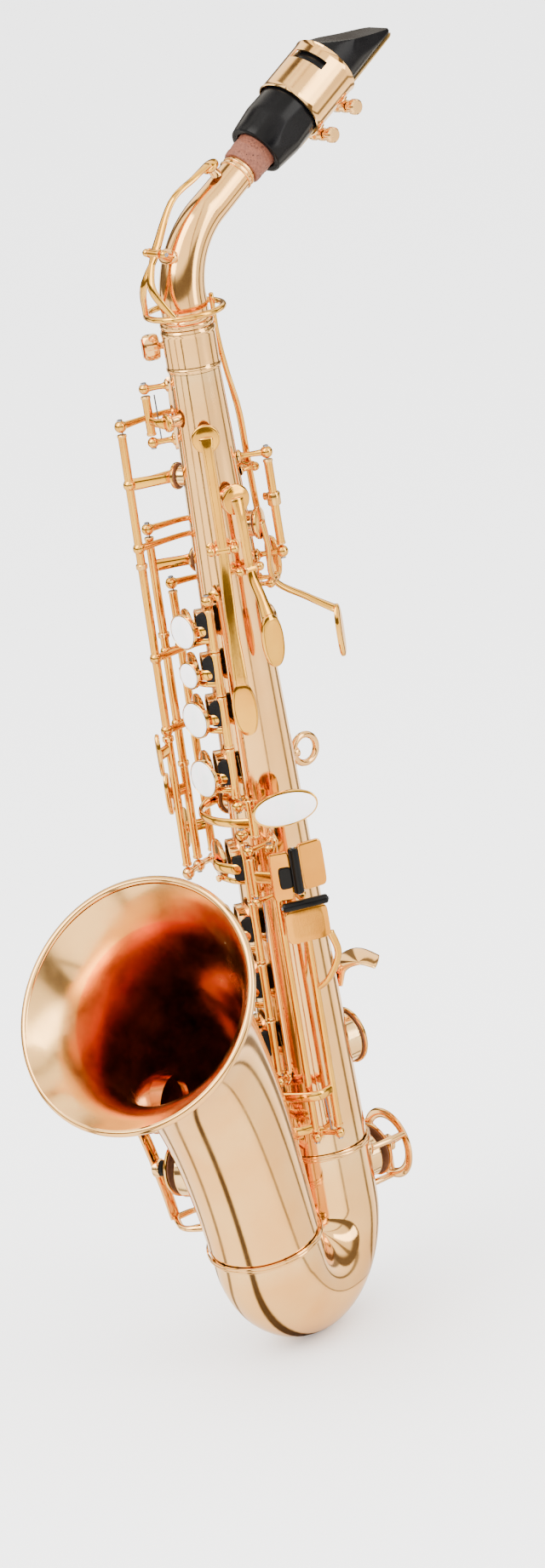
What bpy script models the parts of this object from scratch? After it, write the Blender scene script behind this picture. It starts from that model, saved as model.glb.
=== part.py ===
"""Curved soprano saxophone: body, bow, bell, neck, mouthpiece and a full set of hinged keys.

Lengths are metres. The horn is laid out about the axis of its body tube, with z = 0 where the
body meets the bow. One empty then carries every piece, so that the world origin is the centre
of the neck-strap ring. The bell points along -Y and the player's left hand is on the +X side.
Angles round the body are measured from the bell side towards the player's left.
"""
import math

import bmesh
import bpy
from mathutils import Matrix, Vector

MM = 0.001
GAP = 0.3 * MM  # air between pieces that touch on the real horn

# Body tube
BODY_LENGTH = 301.7 * MM
BODY_R_LOW = 17.65 * MM
BODY_R_TOP = 8.9 * MM
BODY_R_TOP_Z = 318 * MM
BODY_WALL = 1.0 * MM
BODY_SIDES = 24
CHIMNEY_RISE = 2.4 * MM
CHIMNEY_WALL = 0.9 * MM

# Bow and bell
BOW_DROP = 23 * MM
BOW_BEND_R = 23.5 * MM
BOW_R = (18.0 * MM, 19.5 * MM, 21.0 * MM)
BELL_LEAN = math.radians(10)
BOW_RISE = 9 * MM
BOW_STEPS = 8
BELL_MOUTH = (-104 * MM, 98 * MM)
BELL_MOUTH_LEAN = math.radians(52)
BELL_MOUTH_R = 47.0 * MM
BELL_RIM_R = 1.5 * MM
BELL_WALL = 1.2 * MM
RING_H = 2.4 * MM
BODY_RING_R = (18.3 * MM, 18.9 * MM)
BELL_RING_R = (21.6 * MM, 22.2 * MM)

# Neck and mouthpiece
RECEIVER_Z = (302 * MM, 317.7 * MM)
RECEIVER_R = (8.6 * MM, 10.0 * MM)
NECK_PLANE = 160  # degrees round the body
NECK_BASE_Z = 318 * MM
NECK_RISE = 8 * MM
NECK_BEND_R = 35 * MM
NECK_BEND = math.radians(59.5)
NECK_R = (8.6 * MM, 6.6 * MM)
NECK_END_R = 6.2 * MM
NECK_WALL = 0.9 * MM
CORK_START = 20.4 * MM
CORK_END = 43 * MM
CORK_R = (6.5 * MM, 7.8 * MM)
NECK_END = 44 * MM
NECK_SADDLE = 0.42  # where the neck key's saddle stands, as a share of the bend
PIP_AT = 11 * MM  # octave pip, measured along the neck's straight end
PIP_TOP = 9 * MM
MOUTHPIECE_START = 29.4 * MM
MOUTHPIECE_LENGTH = 72 * MM
REED_PLANE = 9.0 * MM
REED_HALF_WIDTH = 6.5 * MM
REED_R = 11.9 * MM
LIGATURE_SPAN = (21 * MM, 44 * MM)
LIGATURE_R = (12.3 * MM, 13.2 * MM)
LIGATURE_SCREWS = (25.5 * MM, 40 * MM)

# Strap ring, which is also the origin of the part
STRAP_ANGLE = 160
STRAP_DISTANCE = 22 * MM
STRAP_Z = 150 * MM
STRAP_RING_R = 5.4 * MM
STRAP_WIRE_R = 1.35 * MM

# Keywork
TUBE_R = 1.8 * MM
POST_R = 1.3 * MM
BALL_R = 2.4 * MM
CUP_H = 2.4 * MM
OPEN_LIFT = 2.3 * MM
RIB_H = 1.1 * MM

STACK_HINGE = 3  # degrees
STACK_PEARL = -27
STACK_CUP = -50
UPPER_STACK = {  # name: (z, cup radius, pearl radius)
    "b": (209 * MM, 6.0 * MM, 6.2 * MM),
    "bis": (192.5 * MM, 6.0 * MM, 4.7 * MM),
    "a": (175.5 * MM, 7.0 * MM, 6.5 * MM),
    "g": (153 * MM, 7.6 * MM, 6.8 * MM),
}
LOWER_STACK = {
    "fs": (118 * MM, 8.0 * MM, 0),
    "f": (92 * MM, 8.4 * MM, 6.8 * MM),
    "e": (70 * MM, 8.8 * MM, 6.8 * MM),
    "d": (47 * MM, 9.2 * MM, 6.8 * MM),
}
SIDE_KEYS = {  # name: (cup angle, cup z, cup radius, hinge angle, hinge distance, top, touch z)
    "high_e": (-88, 262 * MM, 5.0 * MM, -66, 30 * MM, 284 * MM, 161 * MM),
    "side_c": (-112, 229 * MM, 5.6 * MM, -80, 28.5 * MM, 243 * MM, 143 * MM),
    "side_bb": (-118, 203 * MM, 5.8 * MM, -96, 27 * MM, 220 * MM, 126 * MM),
}
SIDE_POST_Z = 112 * MM
SIDE_RIB = -155
SIDE_SPREAD = 0.016  # how far the side rods lean out, as the cone widens below them
PADDLE_TURN = 11
PADDLE_D = 34.6 * MM
PALM_KEYS = {  # name: (cup angle, cup z, cup radius, hinge z, touch angle, touch z, touch distance)
    "palm_f": (33, 279 * MM, 5.2 * MM, 238 * MM, 29, 180 * MM, 24 * MM),
    "palm_eb": (62, 255 * MM, 5.6 * MM, 229 * MM, 64, 203 * MM, 24 * MM),
    "palm_d": (104, 243 * MM, 6.0 * MM, 221 * MM, 112, 199 * MM, 38 * MM),
}
SADDLE_RISE = 5.0 * MM
PALM_HALF = 2.6 * MM
GS_CUP = (-102, 137 * MM, 7.0 * MM)
LOW_EB_CUP = (158, 36 * MM, 11.0 * MM)
OCTAVE_CUP = (-33, 285 * MM, 3.4 * MM)
OCTAVE_LEVER = (150, 262 * MM, 3.0 * MM)  # angle, hinge height, half its width
OCTAVE_ROD = (121, 20.8 * MM, (230 * MM, 267.5 * MM))  # angle, distance, heights of its two posts

# Left-hand table and the low keys
TABLE_D = 28.5 * MM
TABLE_FOOT_Z = 11 * MM
LOW_KEYS = {  # name: (place along the bell, angle round it, cup radius, height where its arm crosses)
    "low_b": (0.20, -88, 11.5 * MM, 15 * MM),
    "low_bb": (0.44, -88, 12.5 * MM, 29 * MM),
}
LEVERS = {"low_b": (30, 23.2 * MM), "low_bb": (52, 23.2 * MM)}  # angle and distance of each hinge line
BELL_KEY_LIFT = 3 * MM
LOW_C = (158, -12.5 * MM, 10.5 * MM, 2.0 * MM)  # angle, height, cup radius, lift at rest
LOW_C_HINGE = (-142, 24 * MM)
LOW_C_POSTS = (-25.5 * MM, -5.5 * MM)


def radial(angle):
    """Unit vector from the body axis at an angle in degrees."""
    a = math.radians(angle)
    return Vector((math.sin(a), -math.cos(a), 0))


def tangent(angle):
    a = math.radians(angle)
    return Vector((math.cos(a), math.sin(a), 0))


def at(angle, distance, z):
    """Point at an angle round the body, a distance from its axis and a height."""
    return radial(angle) * distance + Vector((0, 0, z))


def leaning(angle):
    """Upward unit vector that leans towards the bell side by an angle in radians."""
    return Vector((0, -math.sin(angle), math.cos(angle)))


def body_r(z):
    """Outer radius of the body tube at a height."""
    return BODY_R_LOW + (BODY_R_TOP - BODY_R_LOW) * z / BODY_R_TOP_Z


ORIGIN = at(STRAP_ANGLE, STRAP_DISTANCE, STRAP_Z)


# ---------------------------------------------------------------- materials

def metal(name, color, roughness):
    material = bpy.data.materials.new(name)
    material.use_nodes = True
    shader = material.node_tree.nodes["Principled BSDF"]
    shader.inputs["Base Color"].default_value = (*color, 1)
    shader.inputs["Metallic"].default_value = 1
    shader.inputs["Roughness"].default_value = roughness
    return material


def plain(name, color, roughness):
    material = metal(name, color, roughness)
    material.node_tree.nodes["Principled BSDF"].inputs["Metallic"].default_value = 0
    return material


# ---------------------------------------------------------------- shapes

def mesh_of(points, faces):
    """Closed bmesh from points and faces, with its faces pointing out."""
    shape = bmesh.new()
    verts = [shape.verts.new(p) for p in points]
    for face in faces:
        shape.faces.new([verts[i] for i in face])
    bmesh.ops.recalc_face_normals(shape, faces=shape.faces)
    return shape


def frames_along(path, start=None):
    """Side and up vectors that travel along a path without twisting."""
    path = [Vector(p) for p in path]
    count = len(path)
    heads = []
    for i in range(count):
        ahead = path[min(i + 1, count - 1)] - path[i]
        behind = path[i] - path[max(i - 1, 0)]
        heads.append((ahead.normalized() + behind.normalized()).normalized())
    side = Vector(start) if start else heads[0].orthogonal()
    frames = []
    for head in heads:
        side = (side - head * side.dot(head)).normalized()
        frames.append((side, head.cross(side)))
    return frames


def rings_along(path, radii, sides, start=None):
    """Rings of points along a path; a radius may be a (side, up) pair."""
    rings = []
    for point, radius, (side, up) in zip(path, radii, frames_along(path, start)):
        wide, high = radius if isinstance(radius, tuple) else (radius, radius)
        ring = []
        for k in range(sides):
            turn = 2 * math.pi * (k + 0.5) / sides
            ring.append(Vector(point) + side * wide * math.cos(turn) + up * high * math.sin(turn))
        rings.append(ring)
    return rings


def skin(rings, closed):
    """Faces over rings of equal count, closed to a loop or left with two open ends."""
    sides = len(rings[0])
    spans = len(rings) if closed else len(rings) - 1
    faces = []
    for i in range(spans):
        low = i * sides
        high = ((i + 1) % len(rings)) * sides
        for k in range(sides):
            j = (k + 1) % sides
            faces.append((low + k, low + j, high + j, high + k))
    return faces


def sweep(path, radii, sides=10, start=None):
    """Solid rod along a path."""
    if not isinstance(radii, list):
        radii = [radii] * len(path)
    rings = rings_along(path, radii, sides, start)
    faces = skin(rings, closed=False)
    last = (len(rings) - 1) * sides
    faces.append(tuple(range(sides)))
    faces.append(tuple(range(last, last + sides)))
    return mesh_of([p for ring in rings for p in ring], faces)


def pipe(path, outer, inner, sides=24):
    """Hollow tube along a path, open at both ends."""
    start = (1, 0, 0)
    rings = rings_along(path, outer, sides, start)
    rings += reversed(rings_along(path, inner, sides, start))
    return mesh_of([p for ring in rings for p in ring], skin(rings, closed=True))


def ring_loop(centre, normal, radius, wire, turns=16, sides=6):
    """Closed wire ring."""
    normal = Vector(normal).normalized()
    across = normal.orthogonal().normalized()
    along = normal.cross(across)
    rings = []
    for i in range(turns):
        a = 2 * math.pi * i / turns
        out = across * math.cos(a) + along * math.sin(a)
        ring = []
        for k in range(sides):
            b = 2 * math.pi * k / sides
            ring.append(Vector(centre) + out * (radius + wire * math.cos(b)) + normal * wire * math.sin(b))
        rings.append(ring)
    return mesh_of([p for ring in rings for p in ring], skin(rings, closed=True))


def rod(a, b, radius, sides=10):
    return sweep([a, b], radius, sides)


def ball(centre, radius):
    shape = bmesh.new()
    bmesh.ops.create_icosphere(shape, subdivisions=1, radius=radius, matrix=Matrix.Translation(centre))
    return shape


def disc(centre, normal, radius, height, sides=12):
    """Short cylinder that stands on centre along normal."""
    top = Vector(centre) + Vector(normal) * height
    return rod(centre, top, radius, sides)


def oval(centre, normal, along, half_long, half_wide, height, sides=14):
    """Short oval cylinder, its long side in the direction along."""
    path = [Vector(centre), Vector(centre) + Vector(normal).normalized() * height]
    return sweep(path, (half_long, half_wide), sides, start=along)


def slab(corners, normal, thickness):
    """Flat plate from its corner points."""
    lift = Vector(normal).normalized() * thickness
    points = [Vector(c) for c in corners] + [Vector(c) + lift for c in corners]
    n = len(corners)
    faces = [tuple(range(n)), tuple(range(n, 2 * n))]
    faces += [(i, (i + 1) % n, n + (i + 1) % n, n + i) for i in range(n)]
    return mesh_of(points, faces)


def arm(path, wide, high, along=(0, 0, 1)):
    """Flat key arm: wide across, thin through."""
    return sweep(path, (wide / 2, high / 2), 6, start=along)


# ---------------------------------------------------------------- objects

HINGES = {}


def object_from(shape, name):
    mesh = bpy.data.meshes.new(name)
    bmesh.ops.triangulate(shape, faces=shape.faces)
    shape.to_mesh(mesh)
    shape.free()
    piece = bpy.data.objects.new(name, mesh)
    bpy.context.collection.objects.link(piece)
    return piece


def add(name, shapes, material, cuts=(), origin=(0, 0, 0)):
    """One named piece: its shapes united, its cuts taken out, its origin on its own axis."""
    piece = object_from(shapes[0], name)
    tools = [(s, "UNION") for s in shapes[1:]] + [(s, "DIFFERENCE") for s in cuts]
    helpers = []
    for shape, operation in tools:
        helper = object_from(shape, name + "_tool")
        helpers.append(helper)
        step = piece.modifiers.new(operation.lower(), "BOOLEAN")
        step.operation = operation
        step.object = helper
    if tools:
        bpy.context.view_layer.update()
        depsgraph = bpy.context.evaluated_depsgraph_get()
        united = bpy.data.meshes.new_from_object(piece.evaluated_get(depsgraph))
        piece.modifiers.clear()
        piece.data = united
    for helper in helpers:
        bpy.data.objects.remove(helper)
    piece.data.transform(Matrix.Translation(-Vector(origin)))
    piece.location = origin
    piece.data.materials.clear()
    piece.data.materials.append(material)
    piece.data.shade_smooth()
    piece.data.set_sharp_from_angle(angle=math.radians(35))
    piece.parent = HORN
    return piece


def swing(shapes, a, b, turn):
    """Turn shapes about the line from a to b, from a key's closed place to its place at rest."""
    a, b = Vector(a), Vector(b)
    about = Matrix.Translation(a) @ Matrix.Rotation(turn, 4, (b - a).normalized()) @ Matrix.Translation(-a)
    for shape in shapes:
        shape.transform(about)
    return shapes


def key(name, shapes, a, b, material, cuts=(), turn=0):
    """A hinged key; its origin is on the line from a to b, and turn is how far it rests open."""
    HINGES[name] = (Vector(a), Vector(b), turn)
    if turn:
        swing(shapes, a, b, turn)
    return add(name, shapes, material, cuts, origin=(Vector(a) + Vector(b)) / 2)


def hinge_tube(a, b):
    return rod(a, b, TUBE_R, 8)


def post(foot, head):
    """Shapes of one post: a stem with a ball on the hinge line."""
    return [rod(foot, head, POST_R, 8), ball(head, BALL_R)]


def rib(angle, z_low, z_high, half_angle=7, lift=GAP):
    """Strip along the body that carries a row of posts; a negative lift sinks it into the body."""
    rings = []
    for z in (z_low, z_high):
        low = body_r(z) + lift
        ring = []
        for k in range(5):
            ring.append(at(angle + half_angle * (k / 2 - 1), low, z))
        for k in range(5):
            ring.append(at(angle - half_angle * (k / 2 - 1), low + RIB_H, z))
        rings.append(ring)
    faces = skin(rings, closed=False)
    faces.append(tuple(range(10)))
    faces.append(tuple(range(10, 20)))
    return mesh_of([p for ring in rings for p in ring], faces)


def pad_cup(angle, z, radius, lift, sides=14):
    """Pad cup over a tone hole in the body."""
    base = body_r(z) + CHIMNEY_RISE + GAP + lift
    return disc(at(angle, base, z), radial(angle), radius, CUP_H, sides)


def cup_top(z, lift):
    return body_r(z) + CHIMNEY_RISE + GAP + lift + CUP_H


# ---------------------------------------------------------------- curves of the horn

def bow_path():
    """Centre line of the bow, from the body joint down and round to the bell joint."""
    path = [Vector((0, 0, -GAP / 2)), Vector((0, 0, -BOW_DROP))]
    turn = math.pi - BELL_LEAN
    for i in range(1, BOW_STEPS + 1):
        a = turn * i / BOW_STEPS
        path.append(Vector((0, -BOW_BEND_R * (1 - math.cos(a)), -BOW_DROP - BOW_BEND_R * math.sin(a))))
    path.append(path[-1] + leaning(BELL_LEAN) * BOW_RISE)
    return path


def bow_radii(path):
    count = len(path) - 1
    radii = []
    for i in range(count + 1):
        t = i / count
        first, middle, last = BOW_R
        radii.append(first + (middle - first) * 2 * t if t < 0.5 else middle + (last - middle) * (2 * t - 1))
    return radii


BELL_FOOT = bow_path()[-1]
BELL_START = BELL_FOOT + leaning(BELL_LEAN) * 2 * GAP


def bell_point(t):
    """Centre line of the bell: a cubic curve from the bow joint to the mouth."""
    mouth = Vector((0, BELL_MOUTH[0], BELL_MOUTH[1]))
    p1 = BELL_START + leaning(BELL_LEAN) * 50 * MM
    p2 = mouth - leaning(BELL_MOUTH_LEAN) * 45 * MM
    s = 1 - t
    return BELL_START * s ** 3 + p1 * 3 * s * s * t + p2 * 3 * s * t * t + mouth * t ** 3


def bell_r(t):
    """Outer radius of the bell: a slow cone that ends in a flare."""
    cone = BOW_R[2] + (29.5 * MM - BOW_R[2]) * t ** 1.35
    return cone + (BELL_MOUTH_R - 29.5 * MM) * t ** 7


def neck_point(s):
    """Centre of the neck at s, measured along its straight end from the end of its bend."""
    out = radial(NECK_PLANE)
    turn = NECK_BEND
    bend_end = out * NECK_BEND_R * (1 - math.cos(turn))
    bend_end = bend_end + Vector((0, 0, NECK_BASE_Z + NECK_RISE + NECK_BEND_R * math.sin(turn)))
    return bend_end + NECK_DIRECTION * s


NECK_DIRECTION = radial(NECK_PLANE) * math.sin(NECK_BEND) + Vector((0, 0, math.cos(NECK_BEND)))
REED_NORMAL = radial(NECK_PLANE) * math.cos(NECK_BEND) - Vector((0, 0, math.sin(NECK_BEND)))
NECK_SIDE = tangent(NECK_PLANE)


def neck_bend_point(turn, offset=0):
    """Point of the neck's bend; offset moves it out, away from the centre of the bend."""
    reach = NECK_BEND_R + offset
    out = radial(NECK_PLANE) * (NECK_BEND_R - reach * math.cos(turn))
    return out + Vector((0, 0, NECK_BASE_Z + NECK_RISE + reach * math.sin(turn)))


def along_mouthpiece(s, down=0, side=0):
    """Point on the mouthpiece: s from its shank end, down towards the reed, side across."""
    return neck_point(MOUTHPIECE_START + s) + REED_NORMAL * down + NECK_SIDE * side


# ---------------------------------------------------------------- tubes


def body_holes():
    holes = [(STACK_CUP, z, r - 1.2 * MM) for stack in (UPPER_STACK, LOWER_STACK) for z, r,
             _ in stack.values()]
    holes += [(a, z, r - 1.2 * MM) for a, z, r, *_ in SIDE_KEYS.values()]
    holes += [(a, z, r - 1.2 * MM) for a, z, r, *_ in PALM_KEYS.values()]
    holes += [(a, z, r - 1.2 * MM) for a, z, r in (GS_CUP, OCTAVE_CUP, LOW_EB_CUP)]
    return holes


def saddle(angle, z, half_width):
    """Two small posts, side by side, for a hinge that lies across the body."""
    shapes = []
    middle = at(angle, body_r(z) + SADDLE_RISE, z)
    spread = math.degrees(math.asin((half_width + 1.6 * MM) / body_r(z)))
    for sign in (-1, 1):
        end = middle + tangent(angle) * sign * (half_width + 1.6 * MM)
        shapes.append(rod(at(angle + sign * spread, body_r(z) - 0.5 * MM, z), end + radial(angle) * MM,
                          1.1 * MM, 6))
    return shapes


def palm_hinge_angle(cup_angle, touch_angle):
    return cup_angle + (touch_angle - cup_angle) * 0.35


def make_body():
    ends = [Vector((0, 0, GAP / 2)), Vector((0, 0, BODY_LENGTH))]
    shapes = [sweep(ends, [body_r(p.z) for p in ends], BODY_SIDES, start=(1, 0, 0))]
    bore_ends = [Vector((0, 0, -MM)), Vector((0, 0, BODY_LENGTH + MM))]
    cuts = [sweep(bore_ends, [body_r(p.z) - BODY_WALL for p in bore_ends], BODY_SIDES, start=(1, 0, 0))]
    for angle, z, radius in body_holes():
        root = body_r(z) * 0.7
        top = body_r(z) + CHIMNEY_RISE
        shapes.append(rod(at(angle, root, z), at(angle, top, z), radius, 9))
        cuts.append(rod(at(angle, root * 0.5, z), at(angle, top + 2 * MM, z), radius - CHIMNEY_WALL, 9))
    for cup_angle, _, _, hinge_z, touch_angle, *_ in PALM_KEYS.values():
        shapes += saddle(palm_hinge_angle(cup_angle, touch_angle), hinge_z, PALM_HALF)
    shapes += saddle(OCTAVE_LEVER[0], OCTAVE_LEVER[1], OCTAVE_LEVER[2])
    rod_angle, rod_distance, rod_ends = OCTAVE_ROD
    for z in rod_ends:
        shapes += post(at(rod_angle, body_r(z) - 0.5 * MM, z), at(rod_angle, rod_distance, z))
    add("body_tube", shapes, BRASS, cuts)


def make_collar(name, centre, direction, inner, outer, height):
    ends = [Vector(centre) - Vector(direction) * height / 2, Vector(centre) + Vector(direction) * height / 2]
    add(name, [pipe(ends, [outer] * 2, [inner] * 2, 24)], BRASS)


def make_receiver():
    low, high = RECEIVER_Z
    inner, outer = RECEIVER_R
    lug_angle = -140
    back = radial(lug_angle)
    across = tangent(lug_angle)
    middle = (low + high) / 2
    lug = at(lug_angle, 12.2 * MM, middle)
    corners = [lug + back * x * MM + Vector((0, 0, z * MM)) for x,
               z in ((-3.5, -4), (2.4, -4), (2.4, 4), (-3.5, 4))]
    shapes = [pipe([Vector((0, 0, low)), Vector((0, 0, high))], [outer] * 2, [inner] * 2, 24)]
    shapes.append(slab([c - across * 4 * MM for c in corners], across, 8 * MM))
    slot = slab([c - across * 0.6 * MM + (c - lug) * 0.6 for c in corners], across, 1.2 * MM)
    hole = rod(lug - across * 6 * MM, lug + across * 6 * MM, 1.5 * MM, 10)
    bore = rod(Vector((0, 0, low - MM)), Vector((0, 0, high + MM)), inner, 24)
    add("neck_receiver", shapes, BRASS, [slot, hole, bore])
    screw = [rod(lug - across * 4.8 * MM, lug + across * 16 * MM, 1.15 * MM, 8)]
    screw.append(rod(lug + across * 4.4 * MM, lug + across * 7 * MM, 2.2 * MM, 10))
    screw.append(oval(lug + across * 13.5 * MM, across, (0, 0, 1), 5 * MM, 3.2 * MM, 7 * MM, 12))
    key("neck_clamp_screw", screw, lug, lug + across * 10 * MM, BRASS)


def make_neck():
    tenon_r = RECEIVER_R[0] - GAP
    path = [Vector((0, 0, 303 * MM)), Vector((0, 0, NECK_BASE_Z)), Vector((0, 0, NECK_BASE_Z + NECK_RISE))]
    outer = [tenon_r, tenon_r, NECK_R[0]]
    for i in range(1, 7):
        t = i / 6
        path.append(neck_bend_point(NECK_BEND * t))
        outer.append(NECK_R[0] + (NECK_R[1] - NECK_R[0]) * t)
    path += [neck_point(CORK_START - 1 * MM), neck_point(CORK_START - GAP), neck_point(NECK_END)]
    outer += [NECK_END_R + 0.3 * MM, NECK_END_R, NECK_END_R]
    inner = [r - NECK_WALL for r in outer]
    collar = pipe([Vector((0, 0, NECK_BASE_Z)), Vector((0, 0, NECK_BASE_Z + 2.2 * MM))],
                  [9.9 * MM] * 2, [tenon_r - 0.4 * MM] * 2, 20)
    turn = NECK_SADDLE * NECK_BEND
    saddle_low = neck_bend_point(turn, 6.5 * MM)
    saddle_high = neck_bend_point(turn, 11.4 * MM)
    saddle = [rod(saddle_low, saddle_high, 1.5 * MM, 8)]
    pip = rod(neck_point(PIP_AT) - REED_NORMAL * 5.8 * MM, neck_point(PIP_AT) - REED_NORMAL * PIP_TOP,
              1.8 * MM, 8)
    add("neck", [pipe(path, outer, inner, 16), collar, pip] + saddle, BRASS)
    cork_path = [neck_point(CORK_START), neck_point(CORK_END)]
    add("neck_cork", [pipe(cork_path, [CORK_R[1]] * 2, [CORK_R[0]] * 2, 18)], CORK)


def make_neck_key():
    """Octave key of the neck: cup over the pip, pivot on the saddle, loop round the neck's foot."""
    turn = NECK_SADDLE * NECK_BEND
    pivot = neck_bend_point(turn, 13.6 * MM)
    half = NECK_SIDE * 3.4 * MM
    cup_foot = neck_point(PIP_AT) - REED_NORMAL * (PIP_TOP + GAP)
    cup = disc(cup_foot, -REED_NORMAL, 3.2 * MM, 2.6 * MM, 12)
    top = cup_foot - REED_NORMAL * 3 * MM
    upper = arm([pivot, neck_bend_point(0.8 * NECK_BEND, 14.5 * MM),
                 neck_point(3 * MM) - REED_NORMAL * 12.5 * MM,
                 top], 4 * MM, 2.0 * MM, along=NECK_SIDE)
    loop_z = NECK_BASE_Z + 5.5 * MM
    loop_r = 14.0 * MM
    loop = ring_loop((0, 0, loop_z), (0, 0, 1), loop_r, 1.2 * MM, 20, 6)
    sides = []
    for sign in (-1, 1):
        side = tangent(NECK_PLANE) * sign
        low = at(NECK_PLANE + 180 + sign * 38, loop_r, loop_z)
        mid = (low + pivot) / 2 - radial(NECK_PLANE) * 5 * MM + side * 1.5 * MM
        sides.append(arm([pivot + side * 1.0 * MM, mid, low], 2.6 * MM, 2.0 * MM, along=NECK_SIDE))
    shapes = [rod(pivot - half, pivot + half, 1.9 * MM, 10), upper, cup, loop] + sides
    key("neck_octave_key", shapes, pivot - half, pivot + half, BRASS)


def make_mouthpiece():
    steps = [(0, 10.4), (2, 10.8), (11, 11.9), (22, 11.5), (44, 10.9), (72, 10.4)]
    path = [along_mouthpiece(s * MM) for s, _ in steps]
    outer = [r * MM for _, r in steps]
    body = sweep(path, outer, 20, start=NECK_SIDE)
    shank = rod(along_mouthpiece(-2 * MM), along_mouthpiece(20 * MM), 8.15 * MM, 18)
    chamber = rod(along_mouthpiece(19 * MM), along_mouthpiece(46 * MM), 6.0 * MM, 16)
    window = slab([along_mouthpiece(s * MM, 2.5 * MM, x * MM) for s,
                   x in ((38, -4.2), (60, -4.2), (60, 4.2), (38, 4.2))],
                  REED_NORMAL, 14 * MM)
    table = slab([along_mouthpiece(s * MM, REED_PLANE, x * MM) for s,
                  x in ((10, -16), (75, -16), (75, 16), (10, 16))],
                 REED_NORMAL, 9 * MM)
    slope = [(43, -12.2), (72.5, 7.6), (76, 9), (76, -20), (43, -20)]
    beak = slab([along_mouthpiece(s * MM, d * MM, -16 * MM) for s, d in slope], NECK_SIDE, 32 * MM)
    flanks = []
    for sign in (-1, 1):
        outline = [(50, 11.0), (72.5, 6.6), (76, 6.6), (76, 18), (50, 18)]
        flanks.append(slab([along_mouthpiece(s * MM, -16 * MM, sign * x * MM) for s, x in outline],
                           REED_NORMAL, 32 * MM))
    add("mouthpiece", [body], RUBBER, [shank, chamber, window, table, beak] + flanks)


def make_reed():
    rings = []
    for s, limit in ((13, 20), (42, 20), (58, 10.9), (71.6, 9.9)):
        plane = REED_PLANE + GAP
        ring = [along_mouthpiece(s * MM, plane, REED_HALF_WIDTH),
                along_mouthpiece(s * MM, plane, -REED_HALF_WIDTH)]
        for k in range(7):
            x = REED_HALF_WIDTH * (k / 3 - 1)
            high = min(math.sqrt(REED_R ** 2 - x * x), limit * MM)
            ring.append(along_mouthpiece(s * MM, high, x))
        rings.append(ring)
    faces = skin(rings, closed=False)
    count = len(rings[0])
    faces.append(tuple(range(count)))
    faces.append(tuple(range((len(rings) - 1) * count, len(rings) * count)))
    add("reed", [mesh_of([p for ring in rings for p in ring], faces)], REED_CANE)


def make_ligature():
    low, high = LIGATURE_SPAN
    inner, outer = LIGATURE_R
    band = pipe([along_mouthpiece(low), along_mouthpiece(high)], [outer] * 2, [inner] * 2, 28)
    shapes = [band]
    cuts = [slab([along_mouthpiece(s, 8 * MM, x * MM) for s, x in
                  ((low - MM, -0.8), (high + MM, -0.8), (high + MM, 0.8), (low - MM, 0.8))], REED_NORMAL,
                  14 * MM)]
    for s in LIGATURE_SCREWS:
        for sign in (-1, 1):
            foot = along_mouthpiece(s - 3 * MM, outer - 0.6 * MM, sign * 1.2 * MM)
            corners = [foot, foot + NECK_DIRECTION * 6 * MM,
                       foot + NECK_DIRECTION * 6 * MM + REED_NORMAL * 6 * MM,
                       foot + REED_NORMAL * 6 * MM]
            shapes.append(slab(corners, NECK_SIDE * sign, 2.2 * MM))
        cuts.append(rod(along_mouthpiece(s, outer + 3 * MM, -9 * MM),
                        along_mouthpiece(s, outer + 3 * MM, 9 * MM),
                        1.25 * MM, 8))
    add("ligature", shapes, BRASS, cuts)
    for name, s in zip(("ligature_screw_rear", "ligature_screw_front"), LIGATURE_SCREWS):
        middle = along_mouthpiece(s, outer + 3 * MM)
        reach = NECK_SIDE * -1
        screw = [rod(middle + reach * -4.6 * MM, middle + reach * 8 * MM, 0.95 * MM, 8)]
        screw.append(rod(middle + reach * 3.8 * MM, middle + reach * 6.6 * MM, 1.8 * MM, 10))
        screw.append(rod(middle + reach * 6.2 * MM, middle + reach * 9.4 * MM, 3.0 * MM, 12))
        key(name, screw, middle, middle + reach * 5 * MM, BRASS)


# ---------------------------------------------------------------- fittings of the body

def make_fittings():
    centre = ORIGIN
    side = tangent(STRAP_ANGLE)
    foot_r = body_r(STRAP_Z)
    ring = ring_loop(centre, side, STRAP_RING_R, STRAP_WIRE_R, 16, 6)
    stem = rod(at(STRAP_ANGLE, foot_r + GAP, STRAP_Z), at(STRAP_ANGLE, STRAP_DISTANCE - STRAP_RING_R,
                                                          STRAP_Z),
               1.5 * MM, 8)
    plate = rib(STRAP_ANGLE, STRAP_Z - 8 * MM, STRAP_Z + 8 * MM, 16)
    add("strap_ring", [ring, stem, plate], BRASS)

    rest_z = 204 * MM
    pad = disc(at(162, body_r(rest_z) + 2 * GAP, rest_z), radial(162), 6 * MM, 3.4 * MM, 16)
    add("thumb_rest", [pad], BRASS)

    hook_z = 62 * MM
    hook_foot = body_r(hook_z)
    plate = rib(STRAP_ANGLE, hook_z - 10 * MM, hook_z + 9 * MM, 16)
    hook = arm([at(STRAP_ANGLE, hook_foot + 1.5 * MM, hook_z - 5 * MM),
                at(STRAP_ANGLE, hook_foot + 6 * MM, hook_z + MM),
                at(STRAP_ANGLE - 6, hook_foot + 13 * MM, hook_z + 3 * MM),
                at(STRAP_ANGLE - 14, hook_foot + 19 * MM, hook_z + 0 * MM)], 12 * MM, 2.4 * MM,
                along=tangent(STRAP_ANGLE))
    add("thumb_hook", [plate, hook], BRASS)


def make_brace():
    """Short stay between the body and the bell, a little above the bow joint."""
    z = 8 * MM
    back = -body_r(z) - GAP
    front = bell_point(0.19).y + bell_r(0.19) + 1.2 * MM
    add("bell_brace", [rod(Vector((0, back, z)), Vector((0, front, z)), 2.2 * MM, 12)], BRASS)


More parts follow.
